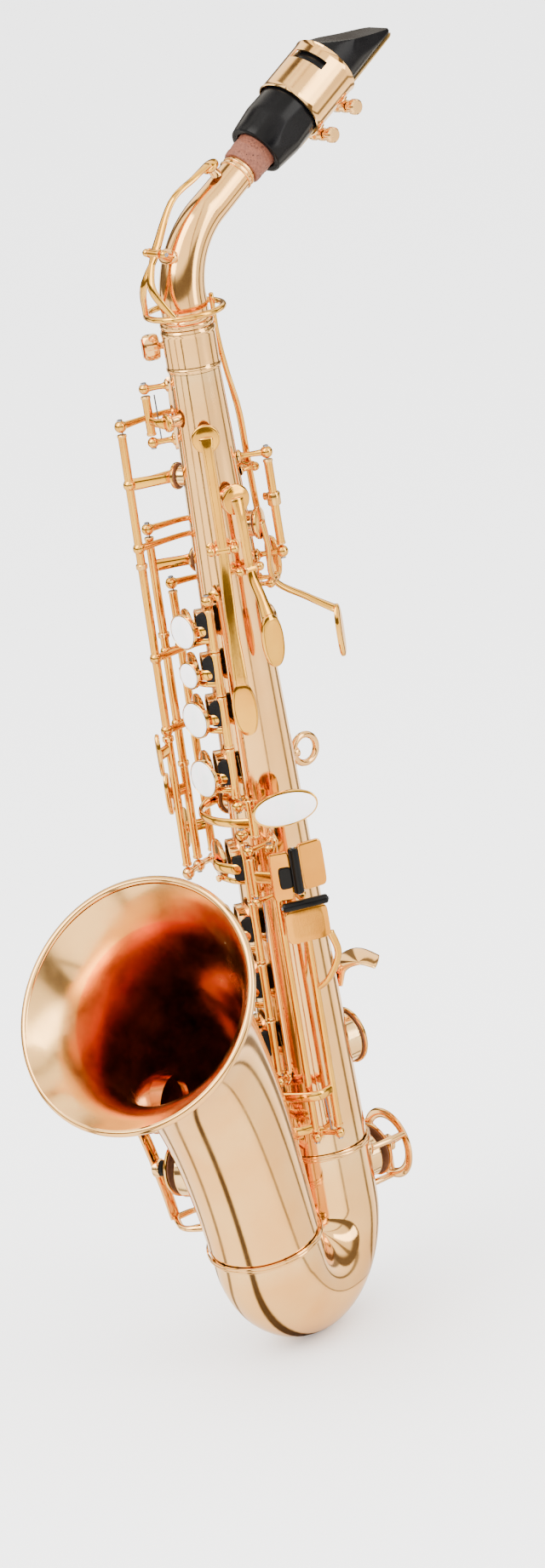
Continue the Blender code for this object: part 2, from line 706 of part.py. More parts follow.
def bell_frame(t, angle):
    """Point maker on the bell: a distance out from its centre line at an angle round it."""
    step = 0.01
    head = (bell_point(t + step) - bell_point(t - step)).normalized()
    across = Vector((1, 0, 0))
    front = across.cross(head)
    if front.y > 0:
        front = -front
    a = math.radians(angle)
    out = across * math.sin(a) + front * math.cos(a)
    return bell_point(t), head, out


def make_bell():
    steps = [0, 0.04, 0.28, 0.5, 0.68, 0.8, 0.89, 0.95, 1]
    path = [bell_point(t) for t in steps]
    outer = [bell_r(t) for t in steps]
    lean = leaning(BELL_MOUTH_LEAN)
    rim = ring_loop(path[-1] - lean * 0.8 * MM, lean, BELL_MOUTH_R, BELL_RIM_R, 24, 6)
    shapes = [sweep(path, outer, 24, start=(1, 0, 0)), rim]
    inner_path = [bell_point(-0.01)] + path[1:-1] + [bell_point(1.02)]
    cuts = [sweep(inner_path, [r - BELL_WALL for r in outer], 24, start=(1, 0, 0))]
    for t, angle, radius, *_ in LOW_KEYS.values():
        centre, _, out = bell_frame(t, angle)
        hole = radius - 1.4 * MM
        shapes.append(rod(centre + out * bell_r(t) * 0.8, centre + out * (bell_r(t) + CHIMNEY_RISE), hole,
                          16))
        cuts.append(rod(centre + out * 3 * MM, centre + out * (bell_r(t) + 9 * MM), hole - CHIMNEY_WALL, 16))
    add("bell", shapes, BRASS, cuts)


# ---------------------------------------------------------------- stacks

def stack_hinge_d(z):
    return body_r(z) + 6.4 * MM


def stack_line(low, high):
    """Hinge line of a stack: parallel to the cone from low to high."""
    return at(STACK_HINGE, stack_hinge_d(low), low), at(STACK_HINGE, stack_hinge_d(high), high)


def make_stack(table, prefix, low, high):
    """Keys of one stack on their common hinge line, and the rib with its posts."""
    a, b = stack_line(low, high)
    direction = (b - a).normalized()
    edges = sorted([z for z, _, _ in table.values()], reverse=True)
    bounds = [high - 3.0 * MM] + [(p + q) / 2 for p, q in zip(edges, edges[1:])] + [low + 3.0 * MM]
    posts = []
    for head in (a, b):
        posts += post(at(STACK_HINGE, body_r(head.z) + GAP + RIB_H * 0.75, head.z), head)
    add(prefix + "_stack_posts", [rib(STACK_HINGE, low - 4 * MM, high + 4 * MM)] + posts, BRASS)
    for i, (name, (z, cup_r, pearl_r)) in enumerate(table.items()):
        upper = a + direction * ((bounds[i] - 0.2 * MM - low) / direction.z)
        lower = a + direction * ((bounds[i + 1] + 0.2 * MM - low) / direction.z)
        hinge_d = stack_hinge_d(z)
        top = cup_top(z, 0)
        pearl_d = max(top + 2.6 * MM, hinge_d + 1 * MM)
        reach = (at(STACK_CUP, top, z) - at(STACK_HINGE, hinge_d, z)).length
        turn = OPEN_LIFT / reach
        path = [at(STACK_HINGE, hinge_d, z), at(-10, (hinge_d + pearl_d) / 2 + 0.8 * MM, z),
                at(STACK_PEARL, pearl_d, z),
                at(-40, (pearl_d + top) / 2 + 0.8 * MM, z), at(STACK_CUP, top + 0.2 * MM, z)]
        shapes = [hinge_tube(lower, upper), arm(path, 4 * MM, 2 * MM), pad_cup(STACK_CUP, z, cup_r, 0)]
        if pearl_r:
            normal = radial(STACK_PEARL)
            holder_d = pearl_d + 0.4 * MM
            shapes.append(disc(at(STACK_PEARL, holder_d, z), normal, pearl_r + 0.5 * MM, 1.6 * MM, 12))
            pearl = disc(at(STACK_PEARL, holder_d + 1.6 * MM + GAP, z), normal, pearl_r, 1.2 * MM, 12)
            add(name + "_pearl", swing([pearl], lower, upper, turn), PEARL)
        key(name + "_key", shapes, lower, upper, BRASS, turn=turn)


# ---------------------------------------------------------------- side and palm keys

def side_line(hinge_angle, distance, top):
    """Ends of a side rod's hinge line."""
    low = at(hinge_angle, distance + (top - SIDE_POST_Z) * SIDE_SPREAD, SIDE_POST_Z)
    return low, at(hinge_angle, distance, top)


def make_side_keys():
    shapes = [rib(SIDE_RIB, SIDE_POST_Z - 8 * MM, 292 * MM)]
    for name, (cup_angle, z, cup_r, hinge_angle, distance, top, touch_z) in SIDE_KEYS.items():
        low, high = side_line(hinge_angle, distance, top)
        direction = (high - low).normalized()
        shapes.append(sweep([at(SIDE_RIB, body_r(top) + GAP + RIB_H * 0.75, top),
                             at(SIDE_RIB + 12, body_r(top) + 5 * MM, top),
                             at((hinge_angle + SIDE_RIB) / 2 + 6, body_r(top) + 11 * MM, top), high],
                             POST_R, 8))
        shapes.append(ball(high, BALL_R))
        shapes.append(ball(low, BALL_R))
        start = low + direction * 3.0 * MM
        end = high - direction * 3.0 * MM
        here = low + direction * ((z - low.z) / direction.z)
        cup = pad_cup(cup_angle, z, cup_r, 0)
        over = cup_top(z, 0)
        reach = arm([here, at((cup_angle + hinge_angle) / 2, max(over + 3 * MM, 17 * MM), z),
                     at(cup_angle, over + 0.1 * MM, z)], 4 * MM, 2 * MM)
        touch = low + direction * ((touch_z - low.z) / direction.z)
        paddle_at = at(hinge_angle + PADDLE_TURN, PADDLE_D, touch.z)
        paddle = oval(paddle_at, radial(hinge_angle + PADDLE_TURN), (0, 0, 1), 8.2 * MM, 3.8 * MM, 1.7 * MM)
        foot = arm([touch, paddle_at + radial(hinge_angle + PADDLE_TURN) * 0.8 * MM], 5 * MM, 2 * MM)
        key(name + "_key", [hinge_tube(start, end), reach, cup, paddle, foot], start, end, BRASS)
    lows = [side_line(v[3], v[4], v[5])[0] for v in SIDE_KEYS.values()]
    shapes.append(sweep([at(SIDE_RIB, body_r(SIDE_POST_Z) + GAP + RIB_H * 0.75, SIDE_POST_Z),
                         at(-125, 23 * MM, SIDE_POST_Z)] + lows[::-1], POST_R, 8))
    add("side_key_posts", shapes, BRASS)


def make_palm_keys():
    """Palm keys are see-saws: a cup above the hinge and a touch below it."""
    for name, (cup_angle, z, cup_r, hinge_z, touch_angle, touch_z, touch_d) in PALM_KEYS.items():
        hinge_angle = palm_hinge_angle(cup_angle, touch_angle)
        hinge_d = body_r(hinge_z) + SADDLE_RISE
        middle = at(hinge_angle, hinge_d, hinge_z)
        across = tangent(hinge_angle)
        half = across * PALM_HALF
        over = cup_top(z, 0)
        path = [at(cup_angle, over + 0.1 * MM, z + 1 * MM), at(cup_angle, over + 0.9 * MM,
                                                               z - cup_r - 3 * MM),
                middle + radial(hinge_angle) * 0.3 * MM,
                at(touch_angle, (hinge_d + touch_d) / 2 + 0.2 * MM, (hinge_z + touch_z) / 2 + 3 * MM),
                at(touch_angle, touch_d - 0.5 * MM, touch_z + 8 * MM)]
        touch = oval(at(touch_angle, touch_d - 1.2 * MM, touch_z), radial(touch_angle), (0, 0, 1),
                     10 * MM, 4.6 * MM, 1.8 * MM)
        shapes = [rod(middle - half, middle + half, 1.7 * MM, 10),
                  arm(path, 3.2 * MM, 2.0 * MM, along=across),
                  pad_cup(cup_angle, z, cup_r, 0), touch]
        key(name + "_key", shapes, middle - half, middle + half, BRASS)


# ---------------------------------------------------------------- left-hand table and low keys

def table_plate(angle_a, angle_b, z_low, z_high, distance=TABLE_D):
    """Touch plate that faces outward between two angles round the body."""
    middle = (angle_a + angle_b) / 2
    normal = radial(middle)
    across = tangent(middle)
    half = distance * math.tan(math.radians(angle_b - angle_a) / 2)
    base = normal * distance
    corners = [base - across * half + Vector((0, 0, z_low)), base + across * half + Vector((0, 0, z_low)),
               base + across * half + Vector((0, 0, z_high)), base - across * half + Vector((0, 0, z_high))]
    return slab(corners, normal, 1.6 * MM)


def make_gs_key():
    """G sharp: a cup on the right of the body, worked by the long pearl above the table."""
    hinge_angle = 20
    z = 137 * MM
    low, high = at(hinge_angle, 25 * MM, 131.5 * MM), at(hinge_angle, 24.6 * MM, 146 * MM)
    cup_angle, cup_z, cup_r = GS_CUP
    over = cup_top(cup_z, 0)
    path = [at(hinge_angle, 25 * MM, z)] + [at(a, 24.4 * MM, z) for a in (0, -20, -42)]
    path += [at(-64, 23.4 * MM, z), at(-86, over + 2.5 * MM, z), at(cup_angle, over + 0.1 * MM, z)]
    holder = oval(at(47, 26.8 * MM, 141.5 * MM), radial(47), tangent(47), 12.5 * MM, 6.6 * MM, 1.6 * MM, 18)
    stem = arm([at(hinge_angle, 25 * MM, 141 * MM), at(36, 27.6 * MM, 141 * MM)], 4 * MM, 2 * MM)
    shapes = [hinge_tube(low, high), arm(path, 3.4 * MM, 2 * MM), pad_cup(cup_angle, cup_z, cup_r, 0),
              holder, stem]
    key("gs_key", shapes, low, high, BRASS)
    pearl = oval(at(47, 28.4 * MM + GAP, 141.5 * MM), radial(47), tangent(47), 11.8 * MM, 5.9 * MM,
                 1.2 * MM, 18)
    add("gs_pearl", [pearl], PEARL)


def hinge_posts(name, lines, rib_angle, z_low, z_high):
    """One rib whose posts hold the two ends of each hinge line."""
    shapes = [rib(rib_angle, z_low, z_high)]
    for end in lines:
        foot = at(rib_angle, body_r(end.z) + GAP + RIB_H * 0.75, end.z)
        shapes += [rod(foot, end, POST_R, 8), ball(end, BALL_R - 0.3 * MM)]
    add(name, shapes, BRASS)


def make_bell_keys():
    ends = []
    plates = {"low_b": (50, 70, 110 * MM, 128 * MM), "low_bb": (34, 66, 90 * MM, 103 * MM)}
    tops = {"low_b": 126 * MM, "low_bb": 106 * MM}
    for name, (t, angle, radius, cross_z) in LOW_KEYS.items():
        hinge_angle, hinge_d = LEVERS[name]
        low = at(hinge_angle, hinge_d, TABLE_FOOT_Z)
        high = at(hinge_angle, hinge_d, tops[name])
        ends += [low, high]
        start, end = low + Vector((0, 0, 2.6 * MM)), high - Vector((0, 0, 2.6 * MM))
        centre, head, out = bell_frame(t, angle)
        foot = centre + out * (bell_r(t) + CHIMNEY_RISE + GAP)
        cup = disc(foot, out, radius, CUP_H, 18)
        over = foot + out * (CUP_H + 0.2 * MM)
        gap_y = -body_r(cross_z) - 9.5 * MM
        path = [at(hinge_angle, hinge_d, cross_z)]
        if name == "low_bb":  # its arm goes round the outside of the low B tube
            path.append(Vector((16.5 * MM, -22.5 * MM, cross_z)))
        path += [Vector((5 * MM, gap_y, cross_z)), Vector((-12 * MM, gap_y, cross_z)),
                Vector((-26 * MM, gap_y - 2.5 * MM, cross_z + 1 * MM)),
                (over + Vector((-30 * MM, gap_y, cross_z))) / 2
                + Vector((-2.5 * MM, 0, 0)), over]
        angle_a, angle_b, z_low, z_high = plates[name]
        plate = table_plate(angle_a, angle_b, z_low, z_high)
        plate_z = (z_low + z_high) / 2
        stem = arm([at(hinge_angle, hinge_d, plate_z), at((angle_a + angle_b) / 2, TABLE_D + 0.6 * MM,
                                                          plate_z)],
                   5 * MM, 2.2 * MM)
        shapes = [hinge_tube(start, end), arm(path, 3.6 * MM, 2.4 * MM), cup, plate, stem]
        reach = (foot - at(hinge_angle, hinge_d, foot.z)).dot(Vector((0, -1, 0)))
        key(name + "_key", shapes, start, end, BRASS, turn=-BELL_KEY_LIFT / reach)
    return ends


def make_cs_keys():
    """C sharp: a table lever turns a second key over the hole on the right of the bow."""
    angle, distance = 12, 24.5 * MM
    low, high = at(angle, distance, 106 * MM), at(angle, distance, 126 * MM)
    plate = table_plate(28, 47, 106 * MM, 126 * MM)
    stem = arm([at(angle, distance, 116 * MM), at(34, TABLE_D + 0.6 * MM, 116 * MM)], 5 * MM, 2.2 * MM)
    start, end = low + Vector((0, 0, 2.6 * MM)), high - Vector((0, 0, 2.6 * MM))
    key("low_cs_lever", [hinge_tube(start, end), plate, stem], start, end, BRASS)
    return [low, high]


def make_right_low_keys():
    """E flat and C keys for the right little finger, hinged on the right of the lower body."""
    angle, distance = -108, 25 * MM
    ends = [at(angle, distance, 50 * MM), at(angle, distance, 28 * MM), at(angle, distance, 6.5 * MM)]
    start, end = ends[0] - Vector((0, 0, 2.7 * MM)), ends[1] + Vector((0, 0, 2.7 * MM))
    cup_angle, cup_z, cup_r = LOW_EB_CUP
    over = cup_top(cup_z, 0)
    back = [at(angle, distance, cup_z)] + [at(a, 25.5 * MM, cup_z) for a in (-130, -155, -178)]
    back += [at(-192, over + 1.5 * MM, cup_z), at(-202, over + 0.1 * MM, cup_z)]
    plate = table_plate(-78, -52, 34 * MM, 46 * MM, 29 * MM)
    front = arm([at(angle, distance, 40 * MM), at(-88, 29 * MM, 40 * MM), at(-70, 29.6 * MM, 40 * MM)],
                5 * MM, 2.2 * MM)
    key("low_eb_key", [hinge_tube(end, start), arm(back, 3.4 * MM, 2.2 * MM),
                       pad_cup(cup_angle, cup_z, cup_r, 0, 18),
                       plate, front], start, end, BRASS)
    start, end = ends[1] - Vector((0, 0, 2.7 * MM)), ends[2] + Vector((0, 0, 2.7 * MM))
    plate = table_plate(-78, -52, 15 * MM, 27 * MM, 29 * MM)
    front = arm([at(angle, distance, 21 * MM), at(-88, 29 * MM, 21 * MM), at(-70, 29.6 * MM, 21 * MM)],
                5 * MM, 2.2 * MM)
    tail = arm([at(angle, distance, 12 * MM), at(-122, 27.4 * MM, 4 * MM), at(-134, 28.8 * MM, -8 * MM)],
               3 * MM, 2.2 * MM)
    key("low_c_lever", [hinge_tube(end, start), plate, front, tail], start, end, BRASS)
    return ends


def make_low_c():
    angle, z, radius, lift = LOW_C
    hinge_angle, hinge_d = LOW_C_HINGE
    low, high = at(hinge_angle, hinge_d, LOW_C_POSTS[0]), at(hinge_angle, hinge_d, LOW_C_POSTS[1])
    start, end = low + Vector((0, 0, 2.7 * MM)), high - Vector((0, 0, 2.7 * MM))
    base = BOW_R[0] + CHIMNEY_RISE + GAP
    cup = disc(at(angle, base, z), radial(angle), radius, CUP_H, 18)
    over = base + CUP_H
    reach = arm([at(hinge_angle, hinge_d, z), at(-162, over + 0.5 * MM, z), at(-180, over + 1.5 * MM, z),
                 at(-202, over + 0.2 * MM, z)], 4 * MM, 2.4 * MM)
    turn = lift / (at(angle, base, z) - at(hinge_angle, hinge_d, z)).length
    key("low_c_key", [hinge_tube(start, end), reach, cup], start, end, BRASS, turn=turn)


def make_low_c_guard():
    """Round guard over the low C cup, on three feet."""
    angle, z, radius, lift = LOW_C
    out, side = radial(angle), tangent(angle)
    centre = at(angle, BOW_R[0] + CHIMNEY_RISE + lift + CUP_H + 6.0 * MM, z)
    guard_r = radius + 2.6 * MM
    shapes = [ring_loop(centre, out, guard_r, 1.2 * MM, 20, 6), disc(centre - out * MM, out, 3.2 * MM,
                                                                     2.2 * MM, 10)]
    for turn in (30, 150, 270):
        a = math.radians(turn)
        rim = centre + (side * math.cos(a) + Vector((0, 0, 1)) * math.sin(a)) * guard_r
        spoke = (rim - centre).normalized()
        shapes.append(arm([rim, centre + spoke * 2.2 * MM], 2 * MM, 1.4 * MM,
                          along=Vector(out).cross(spoke)))
        aside = guard_r * math.cos(a)
        foot = out * (math.sqrt((BOW_R[0] + 1.7 * MM) ** 2 - aside ** 2)) + side * aside + Vector((0, 0,
                                                                                                   rim.z))
        shapes.append(rod(rim, foot, 1.1 * MM, 8))
    add("low_c_guard", shapes, BRASS)


def make_bell_guard():
    """Guard over the two bell keys: a rail on three stems."""
    rail = []
    for t in (0.04, 0.14, 0.28, 0.42, 0.56, 0.64):
        centre, _, out = bell_frame(t, -88)
        rail.append(centre + out * (bell_r(t) + 15.5 * MM))
    shapes = [sweep(rail, (2.4 * MM, 1.1 * MM), 8, start=(0, 0, 1))]
    for t in (0.04, 0.64):
        for sign in (-1, 1):
            centre, _, out = bell_frame(t, -88 + sign * 12)
            middle, _, straight = bell_frame(t, -88)
            shapes.append(rod(centre + out * (bell_r(t) + 1.0 * MM),
                              middle + straight * (bell_r(t) + 15.5 * MM),
                              1.2 * MM, 8))
    add("bell_key_guard", shapes, BRASS)


def make_octave_lever():
    """Thumb lever: pressed below its hinge, it pushes the pin above against the neck key's loop."""
    angle, z, half_width = OCTAVE_LEVER
    middle = at(angle, body_r(z) + SADDLE_RISE, z)
    half = tangent(angle) * half_width
    path = [at(angle, 19.5 * MM, 226 * MM), at(angle, 16.5 * MM, 240 * MM), middle,
            at(angle, 15.0 * MM, 282 * MM),
            at(angle, 12.6 * MM, 299 * MM), at(angle, 11.4 * MM, 312 * MM), at(angle, 11.4 * MM, 327.5 * MM)]
    lever = sweep(path, [(1.9 * MM, 1.0 * MM)] * 4 + [(1.2 * MM, 1.0 * MM)] + [(0.9 * MM, 0.9 * MM)] * 2, 8,
                  start=tangent(angle))
    touch = oval(at(angle, 18.6 * MM, 226 * MM), radial(angle), (0, 0, 1), 8 * MM, 5 * MM, 1.8 * MM)
    key("thumb_octave_lever", [rod(middle - half, middle + half, 1.7 * MM, 10), lever, touch],
        middle - half, middle + half, BRASS)


def make_octave_rocker():
    """Upright rocker on the left of the thumb lever: the lever's edge pushes its short arm in."""
    angle, distance, (low_z, high_z) = OCTAVE_ROD
    start, end = at(angle, distance, low_z + 2.7 * MM), at(angle, distance, high_z - 2.7 * MM)
    arm_z = 250 * MM
    short = arm([at(angle, distance, arm_z), at(angle + 9, 19.6 * MM, arm_z),
                 at(angle + 17, 17.8 * MM, arm_z)],
                3 * MM, 1.8 * MM)
    collar = rod(at(angle, distance, arm_z - 2.5 * MM), at(angle, distance, arm_z + 2.5 * MM), 2.5 * MM, 10)
    key("octave_rocker", [hinge_tube(start, end), collar, short], start, end, BRASS)


def make_body_octave():
    """Upper body octave key: a small cup on a short rod at the right of the body."""
    angle, z, radius = OCTAVE_CUP
    hinge_angle, distance = -62, 19 * MM
    low, high = at(hinge_angle, distance, 277 * MM), at(hinge_angle, distance, 297 * MM)
    start, end = low + Vector((0, 0, 2.7 * MM)), high - Vector((0, 0, 2.7 * MM))
    over = cup_top(z, 0)
    reach = arm([at(hinge_angle, distance, z), at(-46, over + 1.8 * MM, z), at(angle, over + 0.1 * MM, z)],
                3 * MM, 2 * MM)
    key("body_octave_key", [hinge_tube(start, end), reach, pad_cup(angle, z, radius, 0, 12)], start, end,
        BRASS)
    hinge_posts("octave_posts", [low, high], hinge_angle - 6, 273 * MM, 300 * MM)


def make_bow():
    path = bow_path()
    outer = bow_radii(path)
    angle, z, radius, _ = LOW_C
    hole = radius - 1.4 * MM
    shapes = [sweep(path, outer, 20, start=(1, 0, 0))]
    shapes.append(rod(at(angle, 12 * MM, z), at(angle, BOW_R[0] + CHIMNEY_RISE, z), hole, 14))
    for post_z in LOW_C_POSTS:
        head = at(LOW_C_HINGE[0], LOW_C_HINGE[1], post_z)
        shapes += post(at(LOW_C_HINGE[0], BOW_R[0] - 0.6 * MM, post_z), head)
    bore = [Vector((0, 0, MM))] + path[1:-1] + [path[-1] + leaning(BELL_LEAN) * MM]
    cuts = [sweep(bore, [r - BELL_WALL for r in outer], 20, start=(1, 0, 0))]
    cuts.append(rod(at(angle, 6 * MM, z), at(angle, 30 * MM, z), hole - CHIMNEY_WALL, 14))
    add("bow", shapes, BRASS, cuts)


def main():
    make_body()
    make_bow()
    make_bell()
    make_collar("body_bow_ring", (0, 0, 0), (0, 0, 1), BODY_RING_R[0], BODY_RING_R[1], RING_H)
    make_collar("bell_bow_ring", BELL_FOOT, leaning(BELL_LEAN), BELL_RING_R[0], BELL_RING_R[1], RING_H)
    make_receiver()
    make_neck()
    make_neck_key()
    make_mouthpiece()
    make_reed()
    make_ligature()
    make_fittings()
    make_brace()
    make_bell_guard()
    make_stack(UPPER_STACK, "upper", 142 * MM, 220 * MM)
    make_stack(LOWER_STACK, "lower", 34 * MM, 131 * MM)
    make_side_keys()
    make_palm_keys()
    make_gs_key()
    table_ends = make_bell_keys() + make_cs_keys()
    hinge_posts("table_posts", table_ends, 33, 6 * MM, 131 * MM)
    right_ends = make_right_low_keys()
    hinge_posts("right_low_posts", right_ends, -108, 3.4 * MM, 54 * MM)
    make_low_c()
    make_low_c_guard()
    make_octave_lever()
    make_octave_rocker()
    make_body_octave()


for old in list(bpy.data.objects):
    bpy.data.objects.remove(old)
HORN = bpy.data.objects.new("horn_frame", None)
bpy.context.collection.objects.link(HORN)
HORN.location = -ORIGIN
BRASS = metal("lacquered_brass", (0.83, 0.57, 0.26), 0.18)
RUBBER = plain("hard_rubber", (0.012, 0.012, 0.013), 0.25)
CORK = plain("cork", (0.36, 0.15, 0.07), 0.85)
REED_CANE = plain("cane", (0.86, 0.72, 0.42), 0.5)
PEARL = plain("pearl", (0.92, 0.92, 0.9), 0.2)
main()
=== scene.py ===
"""Looks of the curved soprano saxophone: every brass piece rebuilt smooth round the fixed frame.

Lengths are metres. Shapes are laid out about the axis of the body tube, with z = 0 where the
body meets the bow, and then moved so that the origin is the centre of the strap ring.
"""
import math

import bmesh
import bpy
from mathutils import Matrix, Vector


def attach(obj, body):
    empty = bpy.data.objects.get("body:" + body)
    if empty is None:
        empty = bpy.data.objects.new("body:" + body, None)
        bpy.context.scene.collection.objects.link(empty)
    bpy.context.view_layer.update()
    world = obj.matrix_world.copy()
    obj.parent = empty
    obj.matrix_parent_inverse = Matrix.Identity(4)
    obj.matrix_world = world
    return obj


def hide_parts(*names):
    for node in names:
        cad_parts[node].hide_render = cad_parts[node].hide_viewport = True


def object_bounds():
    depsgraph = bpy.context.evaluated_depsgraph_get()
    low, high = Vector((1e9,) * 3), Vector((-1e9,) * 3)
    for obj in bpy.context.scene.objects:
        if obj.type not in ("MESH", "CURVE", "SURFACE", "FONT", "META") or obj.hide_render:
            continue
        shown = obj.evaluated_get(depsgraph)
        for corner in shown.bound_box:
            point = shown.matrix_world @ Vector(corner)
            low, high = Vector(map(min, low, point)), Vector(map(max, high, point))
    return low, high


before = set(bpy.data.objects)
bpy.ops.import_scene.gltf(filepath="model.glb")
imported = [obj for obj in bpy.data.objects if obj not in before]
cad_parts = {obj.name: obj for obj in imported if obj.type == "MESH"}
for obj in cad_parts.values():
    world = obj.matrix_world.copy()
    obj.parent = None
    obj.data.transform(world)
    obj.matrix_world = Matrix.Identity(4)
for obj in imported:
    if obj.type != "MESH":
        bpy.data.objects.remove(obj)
cad_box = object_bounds()

MM = 0.001
GAP = 0.3 * MM

# Body tube
BODY_R_LOW = 17.65 * MM
BODY_R_TOP = 8.9 * MM
BODY_R_TOP_Z = 318 * MM
BODY_LENGTH = 301.7 * MM
CHIMNEY_RISE = 2.4 * MM
WALL = 0.9 * MM
RIB_H = 1.1 * MM

# Bow and bell
BOW_DROP = 23 * MM
BOW_BEND_R = 23.5 * MM
BOW_R = (18.0 * MM, 19.5 * MM, 21.0 * MM)
BELL_LEAN = math.radians(10)
BOW_RISE = 9 * MM
BELL_MOUTH = (-104 * MM, 98 * MM)
BELL_MOUTH_LEAN = math.radians(52)
BELL_MOUTH_R = 46.6 * MM
BELL_RIM_R = 1.5 * MM
BODY_RING_R = (18.3 * MM, 18.9 * MM)
BELL_RING_R = (21.6 * MM, 22.2 * MM)
# the red edge is a painted reflection, and deeper in the bell the colour is painted shade
THROAT_DEPTH = (15.0 * MM, 15.8 * MM, 21 * MM)  # where the flare ends, and its red edge

# Neck and mouthpiece
NECK_PLANE = 160
NECK_BASE_Z = 318 * MM
NECK_RISE = 8 * MM
NECK_BEND_R = 35 * MM
NECK_BEND = math.radians(59.5)
NECK_R = (8.6 * MM, 6.6 * MM)
NECK_END_R = 6.2 * MM
NECK_SADDLE = 0.42  # share of the bend
MOUTHPIECE_START = 29.4 * MM
REED_PLANE = 9.0 * MM
REED_HALF_WIDTH = 6.5 * MM
REED_R = 11.9 * MM
LIGATURE_SPAN = (21 * MM, 44 * MM)
LIGATURE_R = (12.25 * MM, 13.1 * MM)
LIGATURE_SCREWS = (25.5 * MM, 40 * MM)

# Keywork; angles are degrees round the body from the bell side
STRAP_ANGLE = 160
STRAP_DISTANCE = 22 * MM
STRAP_Z = 150 * MM
STACK_HINGE = 3
STACK_PEARL = -27
STACK_CUP = -50
OPEN_LIFT = 2.3 * MM
SADDLE_RISE = 5.0 * MM
FELT_HALF = (4.6 * MM, 2.4 * MM)
NEEDLE_R = 0.28 * MM
UPPER_STACK = {  # name: (z, cup radius, pearl radius)
    "b": (209 * MM, 6.0 * MM, 6.2 * MM),
    "bis": (192.5 * MM, 6.0 * MM, 4.7 * MM),
    "a": (175.5 * MM, 7.0 * MM, 6.5 * MM),
    "g": (153 * MM, 7.6 * MM, 6.8 * MM),
}
LOWER_STACK = {
    "fs": (118 * MM, 8.0 * MM, 0),
    "f": (92 * MM, 8.4 * MM, 6.8 * MM),
    "e": (70 * MM, 8.8 * MM, 6.8 * MM),
    "d": (47 * MM, 9.2 * MM, 6.8 * MM),
}
SIDE_KEYS = {  # name: (cup angle, cup z, cup radius, hinge angle, hinge distance, top, touch z)
    "high_e": (-88, 262 * MM, 5.0 * MM, -66, 30 * MM, 284 * MM, 161 * MM),
    "side_c": (-112, 229 * MM, 5.6 * MM, -80, 28.5 * MM, 243 * MM, 143 * MM),
    "side_bb": (-118, 203 * MM, 5.8 * MM, -96, 27 * MM, 220 * MM, 126 * MM),
}
SIDE_POST_Z = 112 * MM
SIDE_RIB = -155
SIDE_SPREAD = 0.016
SIDE_GUIDES = (168 * MM, 196 * MM, 238 * MM, 262 * MM)
PADDLE_TURN = 11
PADDLE_D = 34.6 * MM
PALM_KEYS = {  # name: (cup angle, cup z, cup radius, hinge z, touch angle, touch z, touch distance)
    "palm_f": (33, 279 * MM, 5.2 * MM, 238 * MM, 29, 180 * MM, 24 * MM),
    "palm_eb": (62, 255 * MM, 5.6 * MM, 229 * MM, 64, 203 * MM, 24 * MM),
    "palm_d": (104, 243 * MM, 6.0 * MM, 221 * MM, 112, 199 * MM, 38 * MM),
}
GS_CUP = (-102, 137 * MM, 7.0 * MM)
LOW_EB_CUP = (158, 36 * MM, 11.0 * MM)
OCTAVE_CUP = (-33, 285 * MM, 3.4 * MM)
OCTAVE_LEVER = (150, 262 * MM, 3.0 * MM)  # angle, hinge height, half its width
OCTAVE_ROD = (121, 20.8 * MM, (230 * MM, 267.5 * MM))  # angle, distance, heights of its posts
TABLE_D = 28.5 * MM
TABLE_FOOT_Z = 11 * MM
LOW_KEYS = {  # name: (place along the bell, angle round it, cup radius, height where its arm crosses)
    "low_b": (0.20, -88, 11.5 * MM, 15 * MM),
    "low_bb": (0.44, -88, 12.5 * MM, 29 * MM),
}
LEVERS = {  # angle and distance of each hinge line
    "low_b": (30, 23.2 * MM),
    "low_bb": (52, 23.2 * MM),
}
BELL_KEY_LIFT = 3 * MM
LOW_C = (158, -12.5 * MM, 10.5 * MM, 2.0 * MM)  # angle, height, cup radius, lift at rest
LOW_C_HINGE = (-142, 24 * MM)
LOW_C_POSTS = (-25.5 * MM, -5.5 * MM)
BOW_STEPS = 30
PATH_STEPS = 6
END_ROUND = 0.6  # how far a bar end bulges, as a share of its thickness
UP = Vector((0, 0, 1))

# Studio
VIEW_CENTRE = Vector((-4.4, -18.7, -7.3)) * MM
VIEW_ANGLE = (33, 18)  # degrees from the bell side towards the player's left, and up
VIEW_ROLL = math.radians(-9.26)
VIEW_HEIGHT = 577.5 * MM
VIEW_DISTANCE = 1800 * MM
SENSOR = 36
FLOOR_HALF = 12.0
DARK_BANDS = (  # (direction, half width, depth) of each dark upright band, in degrees
    (-5, 3, 0.97),
    (-34, 2.5, 0.8),
    (60, 2.5, 0.8),
    (100, 42, 0.25),
    (128, 5, 0.9),
    (-68, 4, 0.85),
    (-105, 9, 0.95),
    (168, 8, 0.9),
    (-140, 8, 0.9),
)


# ---------------------------------------------------------------- places on the horn

def mm(*pairs):
    """Pairs of lengths given in millimetres."""
    return [(a * MM, b * MM) for a, b in pairs]


def radial(angle):
    a = math.radians(angle)
    return Vector((math.sin(a), -math.cos(a), 0))


def tangent(angle):
    a = math.radians(angle)
    return Vector((math.cos(a), math.sin(a), 0))


def at(angle, distance, z):
    return radial(angle) * distance + Vector((0, 0, z))


def body_r(z):
    return BODY_R_LOW + (BODY_R_TOP - BODY_R_LOW) * z / BODY_R_TOP_Z


def cup_top(z):
    return body_r(z) + CHIMNEY_RISE + GAP + 2.4 * MM


def leaning(angle):
    return Vector((0, -math.sin(angle), math.cos(angle)))


